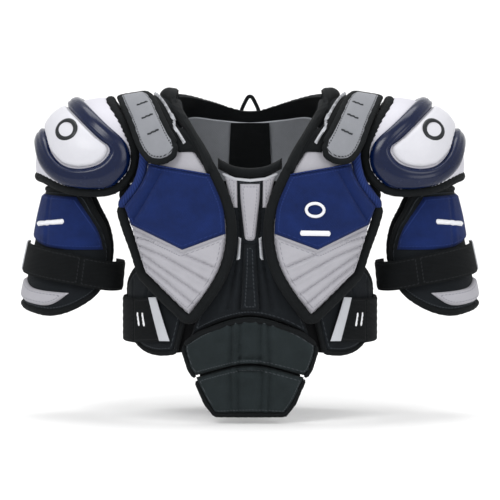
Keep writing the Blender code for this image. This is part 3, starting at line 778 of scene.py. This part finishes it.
FLAP = [
    (92, 28, "c"), (104, 39), (116, 53), (127, 69), (138, 82, "c"), (170, 82, "c"), (162, 66), (149, 48),
    (138, 33), (127, 24.5), (113, 22), (100, 23.5),
]
STERNUM_HALF = [
    (28, -90, "c"), (26, -125), (24, -163), (30, -200), (44, -232), (66, -262), (80, -299, "c"),
    (44, -279), (0, -269),
]
BELLY_MID_HALF = [
    (0, -271.5), (44, -281.5), (86, -305, "c"), (86, -318), (79, -340), (72, -349, "c"), (25, -336),
    (0, -333),
]
BELLY_LOW_HALF = [
    (0, -335.5), (25, -338.5), (72, -352, "c"), (66, -366), (57, -384), (46, -400, "c"), (0, -398),
]
NECK_FRONT_HALF = [(0, -76), (22, -73), (42, -63, "c"), (42, -77, "c"), (22, -86), (0, -89)]
BACK_LINER_HALF = [
    (0, -16), (45, -12), (82, -8), (104, -22), (128, -58), (126, -110), (128, -180), (146, -244),
    (147, -300), (120, -324), (0, -330),
]
BACK_PAD = [
    (32, -46, "c"), (60, -40), (86, -34), (110, -44), (128, -64), (124, -110), (126, -180), (142, -238),
    (142, -262, "c"), (34, -262, "c"), (34, -150),
]
KIDNEY_PAD = [(34, -266, "c"), (142, -266, "c"), (142, -298), (118, -318), (34, -324, "c")]
SPINE_STRIP_HALF = [(27, -14, "c"), (32, -150), (32, -316, "c")]
SPINE_PAD_HALF = [(14, -50, "c"), (25, -74), (25, -290), (14, -314, "c")]
CAP_EDGE_HALF = [
    (90, 48), (66, 46), (28, 41.5), (5, 35), (-11, 26.5), (-20, 12), (-19, -7), (-5, -24), (18, -39),
    (63, -50), (90, -52),
]
RING_OUTER_HALF = [
    (90, 26), (61.7, 27.5), (24, 28), (5, 29), (-5, 27), (-13, 21), (-17.8, 12), (-18.6, 2), (-16.5, -8.5),
    (-2, -24.5), (18, -36), (46, -38.5), (70, -31), (90, -28),
]
RING_INNER_HALF = [
    (90, 13.5), (52, 14), (20, 14.6), (9, 16), (3.5, 12), (3, 0), (12, -14), (26, -22), (44, -22),
    (62, -16.5), (90, -12.5),
]
ARM_EDGE_HALF = [
    (0, -107), (50, -106), (90, -112), (112, -138), (132, -164), (143, -196), (134, -233),
    (108, -256), (75, -268), (40, -264), (0, -258),
]
ARM_PANEL = [
    (-82, -116, "c"), (0, -113), (82, -116, "c"), (118, -160), (130, -186, "c"), (60, -184), (0, -172),
    (-60, -184), (-130, -186, "c"), (-118, -160),
]
ARM_CRESCENT = [
    (-92, -243, "c"), (-40, -238), (0, -226), (40, -238), (92, -243, "c"), (70, -259), (36, -257),
    (0, -251), (-36, -257), (-70, -259),
]
ARM_TAB = [(-8, -178, "c"), (50, -184), (101, -194, "c"), (101, -233, "c"), (50, -224), (-8, -216, "c")]
ARM_PULL = [(-8.5, -177.5, "c"), (5, -179, "c"), (5, -217, "c"), (-8.5, -216.5, "c")]
ARM_BAND = [
    (101, -194.2, "c"), (145, -202), (215, -202, "c"), (215, -241, "c"), (145, -241), (101, -233.2, "c"),
]
SIDE_BLUE = [
    (132, -70, "c"), (146, -84), (160, -98), (172, -112, "c"), (168, -124), (160, -141), (153, -153, "c"),
    (146, -150, "c"), (150, -125), (134, -104), (124, -84, "c"),
]
ARMHOLE = [
    (104, -36, "c"), (100, -110), (120, -150), (150, -160), (160, -128), (150, -104), (147, -80),
    (146, -36, "c"),
]
STERNUM_LINING_HALF = [
    (50, -92, "c"), (44, -125), (42, -163), (48, -200), (60, -235), (78, -266, "c"), (40, -262), (0, -258),
]
WAIST_LINING = [(58, -262, "c"), (104, -256, "c"), (107, -298), (101, -321, "c"), (84, -317), (78, -300)]

# The belly pads' inner and outer faces, measured off the chest's surface.
BELLY_LOW, BELLY_TOP = -10, 2


def symmetric(half):
    return mirrored(half, 0.0)


def scaled_lines(lines, surface):
    return [in_mm(line, surface) for line in lines]


def with_mirrors(lines):
    """Each line on the wearer's left, followed by its mirror image."""
    return [made for line in lines for made in (line, [(-u, v) for u, v in line])]


# ---------------------------------------------------------------- the front


def chest():
    top, sunk = FOAM + GAP, FOAM - 1.0
    pad = panel("chest_pad", CHEST_EDGE, FRONT, 0, FOAM, "silver_fabric", edge=7)
    add(pad, "front", "silver_fabric", ["chest_pad_*"], 0.7, sides=2, swell=3.0)
    seam = grooves([BLUE_SEAM], 2.6, 3.2, 1.4)
    blue = panel(
        "chest_blue_panel", BLUE_PANEL, FRONT, sunk, top + 2.2, "blue_fabric", relief=seam, edge=6, dome=1.6
    )
    add(blue, "front", "blue_fabric", ["chest_blue_panel_*"], 0.6, sides=2, swell=4.0, pins=[BLUE_SEAM])
    sewn = grooves(RIB_LINES, 1.6, 3.0, 1.0)
    rib = panel(
        "chest_rib_panel", RIB_PANEL, FRONT, sunk, top + 2.6, "silver_fabric", 2.6, relief=sewn, dome=1.2
    )
    add(rib, "front", "silver_fabric", ["chest_rib_panel_*"], 0.7, sides=2, swell=4.0, pins=RIB_LINES)
    path = offset_path(CHEST_EDGE, FRONT, 4.2)
    armhole = (path[:, 0] > 126) & (path[:, 1] > -124)
    start = int(np.argmax(armhole & ~np.roll(armhole, -1))) + 1
    run = np.roll(path, -start, 0)
    count = int((~armhole).sum())
    edge = tube("chest_binding", run[:count], FRONT, FOAM / 2 + 3.6, 7.0, 6.2, "black_binding", False)
    add(edge, "front", "black_binding", ["chest_binding_*"], sides=2)
    roll = tube("chest_armhole_roll", run[count - 2:], FRONT, FOAM / 2 + 2.6, 6.2, 6.4, "blue_fabric", False)
    add(roll, "front", "blue_fabric", sides=2)
    side = panel("chest_side_blue", SIDE_BLUE, FRONT, -9.0, -5.0, "blue_fabric", 3.0, 2, 0.8)
    add(side, "front", "blue_fabric", sides=2)
    hem = [(163, -97), (170, -105), (174, -113), (173, -121), (167, -132), (160, -144), (155, -153)]
    edge = tube("chest_side_binding", hem, FRONT, -7.0, 4.6, 4.0, "black_binding", False)
    add(edge, "front", "black_binding", sides=2)
    border = [(51, -87), (76, -83), (99, -80), (127, -75)]
    piping = tube("chest_blue_piping", border, FRONT, top + 1.2, 1.1, 1.3, "blue_fabric", False, **FINE)
    add(piping, "front", "blue_fabric", sides=2)


def linings():
    """The dark cloth behind the armholes, the waist and the sternum, which closes the gaps between panels."""
    for name, points, low, high, sides in (
        ("armhole_lining", ARMHOLE, -11.4, -10.2, 2),
        ("waist_lining", WAIST_LINING, -12.4, -11.0, 2),
        ("sternum_lining", symmetric(STERNUM_LINING_HALF), -12.4, -11.0, 1),
    ):
        lining = panel(name, points, FRONT, low, high, "lining_black", 4.0, 1.0, 0.6)
        add(lining, "front", "black_fabric", sides=sides)


def bar(half_length, half_width, middle, slope):
    """A slim rounded bar on a pattern."""
    way = np.array([math.cos(slope), math.sin(slope)])
    side = np.array([-way[1], way[0]])
    lower = [(-1, -1), (-0.8, -1), (0.8, -1), (1, -1), (1.1, 0)]
    corners = lower + [(-a, -b) for a, b in lower]
    return [tuple(np.array(middle) + way * a * half_length + side * b * half_width) for a, b in corners]


def ring_of(middle, radius, squash=1.0, count=20):
    turns = [2 * math.pi * k / count for k in range(count)]
    return [(middle[0] + radius * math.cos(t), middle[1] + radius * squash * math.sin(t)) for t in turns]


def marks():
    """Plain marks where the set carries print: rings and bars only."""
    top = FOAM + GAP + 5.4
    ring = tube("chest_mark_ring", ring_of((81, -130), 11, 0.8), FRONT, top, 2.0, 1.2, "mark_white", **FINE)
    add(ring, "front", "silver_fabric")
    under = bar(17, 3.4, (81, -161), 0)
    low = panel("chest_mark_bar", under, FRONT, top - 2.5, top + 0.3, "mark_white", 2.0, 1.5)
    add(low, "front", "silver_fabric")
    for i, (u, v) in enumerate(((137, 62), (129, 50), (120.5, 38.5))):
        slanted = in_units(bar(7.5, 2.2, (u, v * SHOULDER[2]), -0.35), SHOULDER)
        low, high = FOAM + GAP + 9, FOAM + GAP + 13.2
        dark = panel(f"flap_mark_{i}", slanted, SHOULDER, low, high, "mark_dark", 2.0, 1.2)
        add(dark, "flap_*", "black_fabric", sides=2)
    level = bar(22, 3.6, (48, -151), 0.1)
    arm = panel("arm_mark_bar", level, ARM, GAP + 1.0, GAP + 5.2, "mark_white", 2.0, 1.2)
    add(arm, "arm_*", "silver_fabric", sides=2)
    for i, u in enumerate((53.5, 58.0)):
        slanted = in_units(bar(9, 2.0, (u * WAIST[1], -277), 1.35), WAIST)
        side = panel(f"side_mark_{i}", slanted, WAIST, 2.2, 4.6, "mark_white", 2.0, 1.2)
        add(side, "side_tab_*", "silver_fabric", sides=2)


def centre_front():
    seams = with_mirrors([[(9, -176), (13, -262)], [(17, -95), (13, -170), (30, -262)]])
    relief = summed(grooves(seams, 2.4, 3.0, 1.2), ribs((1, 0), 5.0, 0.25))
    whole = symmetric(STERNUM_HALF)
    pad = panel("sternum_pad", whole, FRONT, -10, -1.2, "black_fabric", relief=relief, edge=6, dome=0.8)
    add(pad, "front", "black_fabric", ["sternum_pad"], 0.7, swell=3.0, pins=seams)
    plate = [(13, -97, "c"), (12, -120), (6.5, -171, "c")]
    made = panel("sternum_plate", symmetric(plate), FRONT, -0.6, 3.4, "silver_fabric", 2.4, 4, dome=0.6)
    add(made, "front", "silver_fabric", ["sternum_plate"])
    ridge = [(8, -176, "c"), (9, -215), (12, -262, "c")]
    across = grooves([[(-14, -205), (14, -205)], [(-14, -234), (14, -234)]], 1.4, 1.6, 0.5)
    made = panel(
        "sternum_ridge", symmetric(ridge), FRONT, -0.6, 3.8, "black_fabric", 2.4, 4, relief=across, dome=1.0
    )
    add(made, "front", "black_fabric", ["sternum_ridge"])
    sliver = [(17, -90, "c"), (33, -86, "c"), (24, -128, "c"), (16.5, -128, "c")]
    made = panel("sternum_side_silver", sliver, FRONT, -1.0, 1.6, "silver_fabric", 2.4, 2.5)
    add(made, "front", "silver_fabric", sides=2)
    slim = [(11.5, -168, "c"), (15, -166, "c"), (17.5, -196, "c"), (13, -196, "c")]
    made = panel("sternum_slim_silver", slim, FRONT, -1.0, 1.4, "piping", 2.0, 1.5)
    add(made, "front", "silver_fabric", sides=2)
    band = panel("neck_front_band", symmetric(NECK_FRONT_HALF), FRONT, -2, 8, "black_binding", 2.6, 7, 0.1)
    add(band, "front", "black_binding", ["neck_front_band"])
    line = symmetric([(-36, -84), (-20, -90.5), (0, -92.5)])
    made = tube("neck_front_piping", line, FRONT, 0.6, 2.0, 1.6, "piping", False, **FINE)
    add(made, "front", "silver_fabric")


def belly_pad(name, half, seams, node_name):
    """One of the two belly pads, with sewn channels down it and one across."""
    relief = summed(grooves(seams, 2.6, 3.4, 1.4), ribs((1, 0.02), 5.0, 0.3))
    made = panel(
        name, symmetric(half), FRONT, BELLY_LOW, BELLY_TOP, "belly_fabric", relief=relief, edge=5, dome=0.8
    )
    add(made, name, "black_fabric", [node_name], 0.7, swell=3.0, pins=seams)


def belly():
    seams = with_mirrors([[(14, -262), (14, -345)], [(23, -262), (25, -345)]]) + [[(14, -325), (-14, -325)]]
    belly_pad("belly_middle", BELLY_MID_HALF, seams, "belly_pad_middle")
    seams = with_mirrors([[(17, -330), (15, -400)], [(26, -330), (24, -400)]]) + [[(15, -343), (-15, -343)]]
    belly_pad("belly_lower", BELLY_LOW_HALF, seams, "belly_pad_lower")
    arc = symmetric([(-86, -308), (-66, -293), (-44, -284.5), (-20, -277.5), (0, -275)])
    made = tube("belly_middle_binding", arc, FRONT, BELLY_TOP - 1.2, 3.6, 3.0, "black_binding", False)
    add(made, "belly_middle", "black_binding")
    rim = np.array([(87, -309), (87, -318), (80, -340), (73, -351.5)], float)
    for side, name in ((1, "left"), (-1, "right")):
        edge = tube(f"belly_middle_rim_{name}", rim * (side, 1), FRONT, -3, 3.6, 5.0, "black_binding", False)
        add(edge, "belly_middle", "black_binding")
    hem = [
        (72, -354), (66, -366), (58, -385), (46, -400), (22, -400), (0, -400), (-22, -400), (-46, -400),
        (-58, -385), (-66, -367), (-71, -356),
    ]
    made = tube("belly_lower_binding", hem, FRONT, -3, 3.6, 5.0, "black_binding", False)
    add(made, "belly_lower", "black_binding")
    gusset(
        "belly_middle_gusset", [(78, -292, "c"), (-78, -292, "c"), (-40, -262), (0, -258), (40, -262)],
        "front", ("belly_middle", (0, -0.1, -0.266), (0, -0.1, -0.284)),
    )
    gusset(
        "belly_lower_gusset", [
            (70, -341, "c"), (40, -331), (0, -325), (-40, -331), (-70, -341, "c"), (-67, -358, "c"),
            (-40, -350), (0, -345), (40, -350), (67, -358, "c"),
        ],
        "belly_middle", ("belly_lower", (0, -0.1, -0.330), (0, -0.1, -0.342)),
    )


def gusset(name, points, body, joint):
    """A thin cloth behind a fold line, which closes the gap there."""
    made = panel(name, points, FRONT, -10.9, -10.3, "black_binding", 3.0, 1.0, 0.6)
    add(made, body, "black_binding", joint=joint)


def sides():
    relief = grooves(scaled_lines([[(50, -225), (62, -300)], [(68, -226), (70, -300)]], WAIST), 1.8, 1.6, 0.6)
    wing = panel("side_wing", WING, WAIST, -9, -2.2, "black_fabric", relief=relief, edge=5)
    add(wing, "front", "black_fabric", ["side_wing_*"], 0.6, sides=2, swell=3.0)
    edge = tube("side_wing_binding", offset_path(WING, WAIST, 1.5), WAIST, -5.5, 3.4, 4.0, "black_binding")
    add(edge, "front", "black_binding", sides=2)
    tab = panel("side_strap_tab", SIDE_TAB, WAIST, 1.0, 3.4, "webbing", 2.6, 1.4, 0.6)
    add(tab, "side_tab_*", "webbing", ["side_strap_tab_*"], sides=2)
    pull = panel("side_pull_tab", SIDE_PULL, WAIST, 3.4, 5.0, "piping", 2.4, 1.2, 0.5)
    add(pull, "side_tab_*", "silver_fabric", sides=2)
    stretch = ribs((0, 1), 6.0, 0.5)
    elastic = panel(
        "side_strap_elastic", SIDE_ELASTIC, WAIST, 1.0, 3.2, "webbing", 2.6, 1.4, 0.6, relief=stretch
    )
    reach = ("back", (0, -0.050, -0.28), (0, 0.045, -0.28))
    add(elastic, "front", "webbing", ["side_strap_elastic_*"], joint=reach, sides=2)


def shoulders():
    over = ("back", (0, -0.016, 0.02), (0, 0.016, 0.02))
    top = FOAM + GAP
    yoke = panel("yoke", YOKE, SHOULDER, 0, FOAM, "black_fabric", edge=5)
    add(yoke, "front", "black_fabric", ["yoke_front_*", "yoke_back_*"], 0.6, joint=over, sides=2)
    collar = symmetric(COLLAR_INNER_HALF) + symmetric(COLLAR_OUTER_HALF)
    roll = panel("collar_roll", collar, SHOULDER, FOAM - 2, top + 9, "black_binding", 2.8, 13, 0.05)
    stands_for = ["collar_front_left", "collar_front_right", "collar_back"]
    add(roll, "front", "black_binding", stands_for, 0.9, joint=over)
    stripe = panel("collar_stripe", BLACK_STRIPE, SHOULDER, top - 1.5, top + 2.4, "black_binding", 2.8, 3)
    add(stripe, "front", "black_binding", joint=over, sides=2)
    white = panel("collar_piping", WHITE_STRIPE, SHOULDER, top + 1.8, top + 6.4, "piping", 2.0, 1.5)
    add(white, "front", "silver_fabric", joint=over, sides=2)
    flap = panel("clavicle_flap", FLAP, SHOULDER, 18.5, 25.0, "grey_fabric", 2.8, 4, dome=0.8)
    add(flap, "flap_*", "grey_fabric", ["clavicle_flap_*"], 0.6, sides=2, swell=4.0)
    edge = tube("flap_binding", offset_path(FLAP, SHOULDER, 1.0), SHOULDER, 21.5, 4.2, 3.8, "black_binding")
    add(edge, "flap_*", "black_binding", sides=2)


# ---------------------------------------------------------------- the back


def back():
    liner = panel("back_liner", symmetric(BACK_LINER_HALF), REAR, -7.0, -2.0, "liner_silver", 4.0, 3, 0.6)
    add(liner, "back", "silver_fabric", ["back_liner"], 0.3)
    strip = panel("spine_strip", symmetric(SPINE_STRIP_HALF), REAR, -9.6, -7.4, "webbing", 3.2, 1.5)
    add(strip, "back", "webbing", ["spine_strip"])
    quilt = [[(34, -100), (126, -84)], [(34, -155), (124, -140)], [(34, -208), (130, -196)]]
    relief = grooves(quilt, 2.2, 2.2, 0.8)
    pad = panel("back_pad", BACK_PAD, REAR, 0, FOAM - 1.0, "black_fabric", relief=relief, edge=7, dome=1.0)
    add(pad, "back", "black_fabric", ["back_pad_*"], 0.7, sides=2, swell=3.0, pins=quilt)
    edge = tube("back_pad_binding", offset_path(BACK_PAD, REAR, 0.5), REAR, 4.5, 3.2, 5.0, "black_binding")
    add(edge, "back", "black_binding", sides=2)
    relief = grooves([[(70, -262), (66, -326)], [(106, -262), (100, -326)]], 2.2, 2.0, 0.8)
    outer = FOAM - 1.0
    pad = panel("kidney_pad", KIDNEY_PAD, REAR, 0, outer, "black_fabric", relief=relief, edge=6, dome=1.0)
    add(pad, "back", "black_fabric", ["kidney_pad_*"], 0.7, sides=2)
    lines = [[(-30, z), (30, z)] for z in (-100, -152, -204, -256)]
    spine = panel(
        "spine_pad", symmetric(SPINE_PAD_HALF), REAR, 1.0, FOAM, "black_fabric", 3.0, 7,
        relief=grooves(lines, 3.2, 6.0), flat_y=SPINE_FACE_Y,
    )
    add(spine, "back", "black_fabric", ["spine_pad"], 0.8)
    hang_loop()


def hang_loop():
    """A webbing arch on the back of the collar, with its ends sewn down."""
    low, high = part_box("hang_loop")
    x = 1000 * high.x - 2.6
    y = 500 * (low.y + high.y)
    bottom, top = 1000 * low.z - 3, 1000 * high.z - 3.0
    arc = [(-x * 1.3, bottom), (-x * 1.15, bottom + 6), (-x * 0.75, top - 9), (-x * 0.3, top - 1.2), (0, top)]
    section = [(-1.4, -2.6), (-1.7, 0), (-1.4, 2.6), (1.4, 2.6), (1.7, 0), (1.4, -2.6)]
    section = [(side, out, 5.0) for side, out in section]
    made = strap_mesh("hang_loop_webbing", symmetric(arc), section, 1.0, 1.2, y)
    add(made, "back", "webbing", ["hang_loop"])


# ---------------------------------------------------------------- caps and arms


def band_between(name, inner_half, outer_half, look, low, thick):
    """The gloss ring of a cap: a moulded band, rounded across, between two closed lines."""

    def rim(points, count):
        fine = outline(in_mm(mirrored(points, 90.0), CAP), 1.0)
        middle = fine.mean(0)
        first = int(np.argmax(fine[:, 1] - np.abs(fine[:, 0] - middle[0])))
        fine = np.roll(fine, -first, 0)
        total = np.linalg.norm(np.diff(np.vstack([fine, fine[:1]]), axis=0), axis=1).sum()
        return resample(fine.tolist(), total / count, True)[:count]

    count = 190
    inner, outer = rim(inner_half, count), rim(outer_half, count)
    shares = np.linspace(0, 1, 13)
    heights = thick * (1 - np.abs(2 * shares - 1) ** 3.2) ** 0.6
    crease = -1.3 * np.exp(-(((shares - 0.3) / 0.08) ** 2))
    rows, where = [], []
    for share, rise in zip(shares, heights + crease * (heights > 1)):
        flat = mix(inner, outer, share)
        rows.append(placed(CAP, flat, np.full(count, low + max(rise, 0.3))))
        where.append(np.column_stack([flat, np.full(count, 20 * min(share, 1 - share))]))
    for share in (1, 0.5, 0):
        flat = mix(inner, outer, share)
        rows.append(placed(CAP, flat, np.full(count, low)))
        where.append(np.column_stack([flat, np.full(count, 0.0)]))
    ring = len(rows)
    points = np.stack(rows, 1).reshape(-1, 3)
    coordinates = np.stack(where, 1).reshape(-1, 3)
    return mesh_object(name, points, ring_faces(count, ring, True), look, coordinates, 60)


def caps():
    edge = mirrored(CAP_EDGE_HALF, 90.0)
    liner = panel("cap_liner", edge, CAP, -8, 0, "cap_liner", 3.2, 4, 0.4)
    add(liner, "cap_*", "white_shell", ["cap_liner_*"], 0.8, sides=2)
    ring = band_between("cap_ring", RING_INNER_HALF, RING_OUTER_HALF, "blue_plastic", 0.5, 8.3)
    add(ring, "cap_*", "blue_plastic", ["cap_ring_*"], sides=2)
    inner = mirrored(RING_INNER_HALF, 90.0)
    shrunk = [(90 + (u - 90) * 0.985, (v - 1) * 0.94 + 1) for u, v in inner]
    dome = panel("cap_dome", shrunk, CAP, 0.4, 5.5, "white_shell", 2.8, 5, 0.2, dome=2.4)
    add(dome, "cap_*", "white_shell", ["cap_dome_*"], sides=2)
    rim = offset_path(edge, CAP, 3.6)
    tape = tube("cap_binding", rim, CAP, -3.4, 6.4, 6.0, "black_binding")
    add(tape, "cap_*", "black_binding", ["cap_binding_*"], sides=2)
    mark = in_units(ring_of((44 * CAP[1], 1 * CAP[2]), 15, 0.8), CAP)
    made = tube("cap_mark_ring", mark, CAP, 7.6, 3.2, 0.9, "mark_dark", **FINE)
    add(made, "cap_*", "black_fabric", sides=2)
    low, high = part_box("cap_hinge_lace_left")
    middle = (low + high) / 2 * 1000
    lace(middle)
    tether()


def lace(middle):
    """The cord that ties a cap to its yoke, wound once round itself."""
    points, where = [], []
    sides, turns = 8, 60
    for i in range(turns + 1):
        y = mix(-8.0, 8.0, i / turns)
        swell = 2.0 + 0.25 * math.sin(i * 0.9)
        for k in range(sides):
            a = 2 * math.pi * k / sides + i * 0.12
            points.append((middle.x + swell * math.cos(a), y, middle.z + swell * math.sin(a)))
            where.append((i * 0.3, k, 5.0))
    made = mesh_object("cap_lace", points, ring_faces(turns + 1, sides), "webbing", where)
    add(made, "front", "webbing", ["cap_hinge_lace_*"], sides=2)


def strap_section(half, thick):
    """A flat strap's section, thicker in the middle: place across, height, and distance from the edge."""
    rise = thick * 1.2
    ring = [(-half, -thick), (-half, thick), (-half / 2, rise)]
    ring += [(-side, out) for side, out in reversed(ring)]
    return [(side, out, half - abs(side)) for side, out in ring]


def strap_mesh(name, line, section, fine=1.5, step=1.8, y=0.0):
    """A strap swept along a line in the XZ plane, wide along Y."""
    path = resample(smooth_run([list(p) for p in line], fine).tolist(), step, False)
    along = np.gradient(path, axis=0)
    along /= np.linalg.norm(along, axis=1)[:, None]
    points, where = [], []
    for i, ((x, z), (ax, az)) in enumerate(zip(path, along)):
        for side, out, inset in section:
            points.append((x - az * out, y + side, z + ax * out))
            where.append((i * step, side, inset))
    return mesh_object(name, points, ring_faces(len(path), len(section)), "webbing", where)


def tether():
    """The webbing that joins each yoke to the underside of its cap."""
    line = [(150, 4), (164, 5), (172, 2), (180, -4), (192, 2)]
    made = strap_mesh("cap_tether", line, strap_section(16, 0.9))
    add(made, "front", "webbing", joint=("cap_*", (0.166, 0, 0), (0.184, 0, 0)), sides=2)


def arms():
    edge = mirrored(ARM_EDGE_HALF, 0.0)
    pad = panel("arm_pad", edge, ARM, -8, 0, "black_fabric", 3.4, 4, 0.4)
    add(pad, "arm_*", "black_fabric", ["arm_pad_*"], 0.7, sides=2)
    seam = with_mirrors([[(40, -112), (52, -184)]])
    relief = grooves(seam, 2.0, 1.2, 0.7)
    blue = panel("arm_blue_panel", ARM_PANEL, ARM, -0.5, 3.8, "blue_fabric", 3.0, 5, relief=relief, dome=1.0)
    add(blue, "arm_*", "blue_fabric", ["arm_blue_panel_*"], 0.6, sides=2, swell=4.0, pins=seam)
    crescent = panel("arm_crescent", ARM_CRESCENT, ARM, -0.5, 4.2, "silver_fabric", 2.8, 4, dome=0.5)
    add(crescent, "arm_*", "silver_fabric", ["arm_crescent_*"], 0.6, sides=2)
    tape = tube("arm_binding", offset_path(edge, ARM, 1.0), ARM, -3.4, 4.4, 5.2, "black_binding")
    add(tape, "arm_*", "black_binding", sides=2)
    tab = panel("arm_strap_tab", ARM_TAB, ARM, 6.6, 9.0, "webbing", 2.8, 1.4, 0.6)
    add(tab, "arm_tab_*", "webbing", ["arm_strap_tab_*"], sides=2)
    pull = panel("arm_pull_tab", ARM_PULL, ARM, 9.0, 10.6, "piping", 2.4, 1.2, 0.5)
    add(pull, "arm_tab_*", "silver_fabric", sides=2)
    stretch = ribs((0, 1), 6.0, 0.4)
    loop = panel("arm_strap_band", ARM_BAND, ARM, 6.6, 9.0, "webbing", 2.8, 1.4, 0.6, relief=stretch)
    add(loop, "arm_*", "webbing", ["arm_strap_band_*"], sides=2)
    low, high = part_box("arm_link_left")
    x, top, bottom = 1000 * (low.x + high.x) / 2, 1000 * high.z, 1000 * low.z
    middle = (x - 0.5, (top + bottom) / 2)
    line = [(x + 4, top + 16), (x + 1, top + 4), middle, (x + 1, bottom + 4), (x + 5, bottom - 6)]
    made = strap_mesh("arm_link_webbing", line, strap_section(12, 1.0))
    add(made, "link_*", "webbing", ["arm_link_*"], sides=2)


# ---------------------------------------------------------------- the stage


def area_light(name, where, aim, size, power):
    data = bpy.data.lights.new(name, "AREA")
    data.shape = "RECTANGLE"
    data.size, data.size_y = size
    data.energy = power
    made = bpy.data.objects.new(name, data)
    made.location = where
    made.rotation_euler = (Vector(aim) - Vector(where)).to_track_quat("-Z", "Y").to_euler()
    link(made)


def set_stage():
    floor_z = CAD_BOX[0][2] - FLOOR_GAP
    mesh = bpy.data.meshes.new("floor")
    near, bend, far, up, wide = -6.0, 4.0, 5.0, 4.0, 9.0
    profile = [(near, floor_z), (bend, floor_z)]
    for i in range(1, 13):
        a = i / 12 * math.pi / 2
        profile.append((bend + (far - bend) * math.sin(a), floor_z + (far - bend) * (1 - math.cos(a))))
    profile.append((far, floor_z + up))
    points = [(s * wide, y, z) for y, z in profile for s in (-1, 1)]
    faces = [[2 * i, 2 * i + 1, 2 * i + 3, 2 * i + 2] for i in range(len(profile) - 1)]
    mesh.from_pydata(points, [], faces)
    mesh.shade_smooth()
    floor = bpy.data.objects.new("floor", mesh)
    pale = bpy.data.materials.new("floor_pale")
    pale.use_nodes = True
    shader = pale.node_tree.nodes["Principled BSDF"]
    shader.inputs["Base Color"].default_value = (0.9, 0.9, 0.9, 1)
    shader.inputs["Roughness"].default_value = 0.9
    mesh.materials.append(pale)
    link(floor)
    world = bpy.data.worlds.new("studio")
    world.use_nodes = True
    sky = world.node_tree.nodes["Background"]
    sky.inputs["Color"].default_value = (1, 1, 1, 1)
    sky.inputs["Strength"].default_value = WORLD_STRENGTH
    bpy.context.scene.world = world
    bpy.context.scene.view_settings.view_transform = "Standard"
    for name, light in LIGHTS.items():
        area_light(name, *light)
    camera = bpy.data.cameras.new("camera")
    camera.lens = FILM_WIDTH * CAMERA_DISTANCE / VIEW_WIDTH
    camera.sensor_width = FILM_WIDTH
    camera.clip_end = 60
    view = bpy.data.objects.new("camera", camera)
    aim = Vector(CAMERA_AIM)
    back_off = (0, -CAMERA_DISTANCE * math.cos(CAMERA_HEIGHT), CAMERA_DISTANCE * math.sin(CAMERA_HEIGHT))
    view.location = aim + Vector(back_off)
    view.rotation_euler = (aim - view.location).to_track_quat("-Z", "Y").to_euler()
    link(view)
    bpy.context.scene.camera = view


chest()
linings()
centre_front()
belly()
sides()
shoulders()
back()
caps()
arms()
marks()
swell_all()
finish_all()
set_stage()
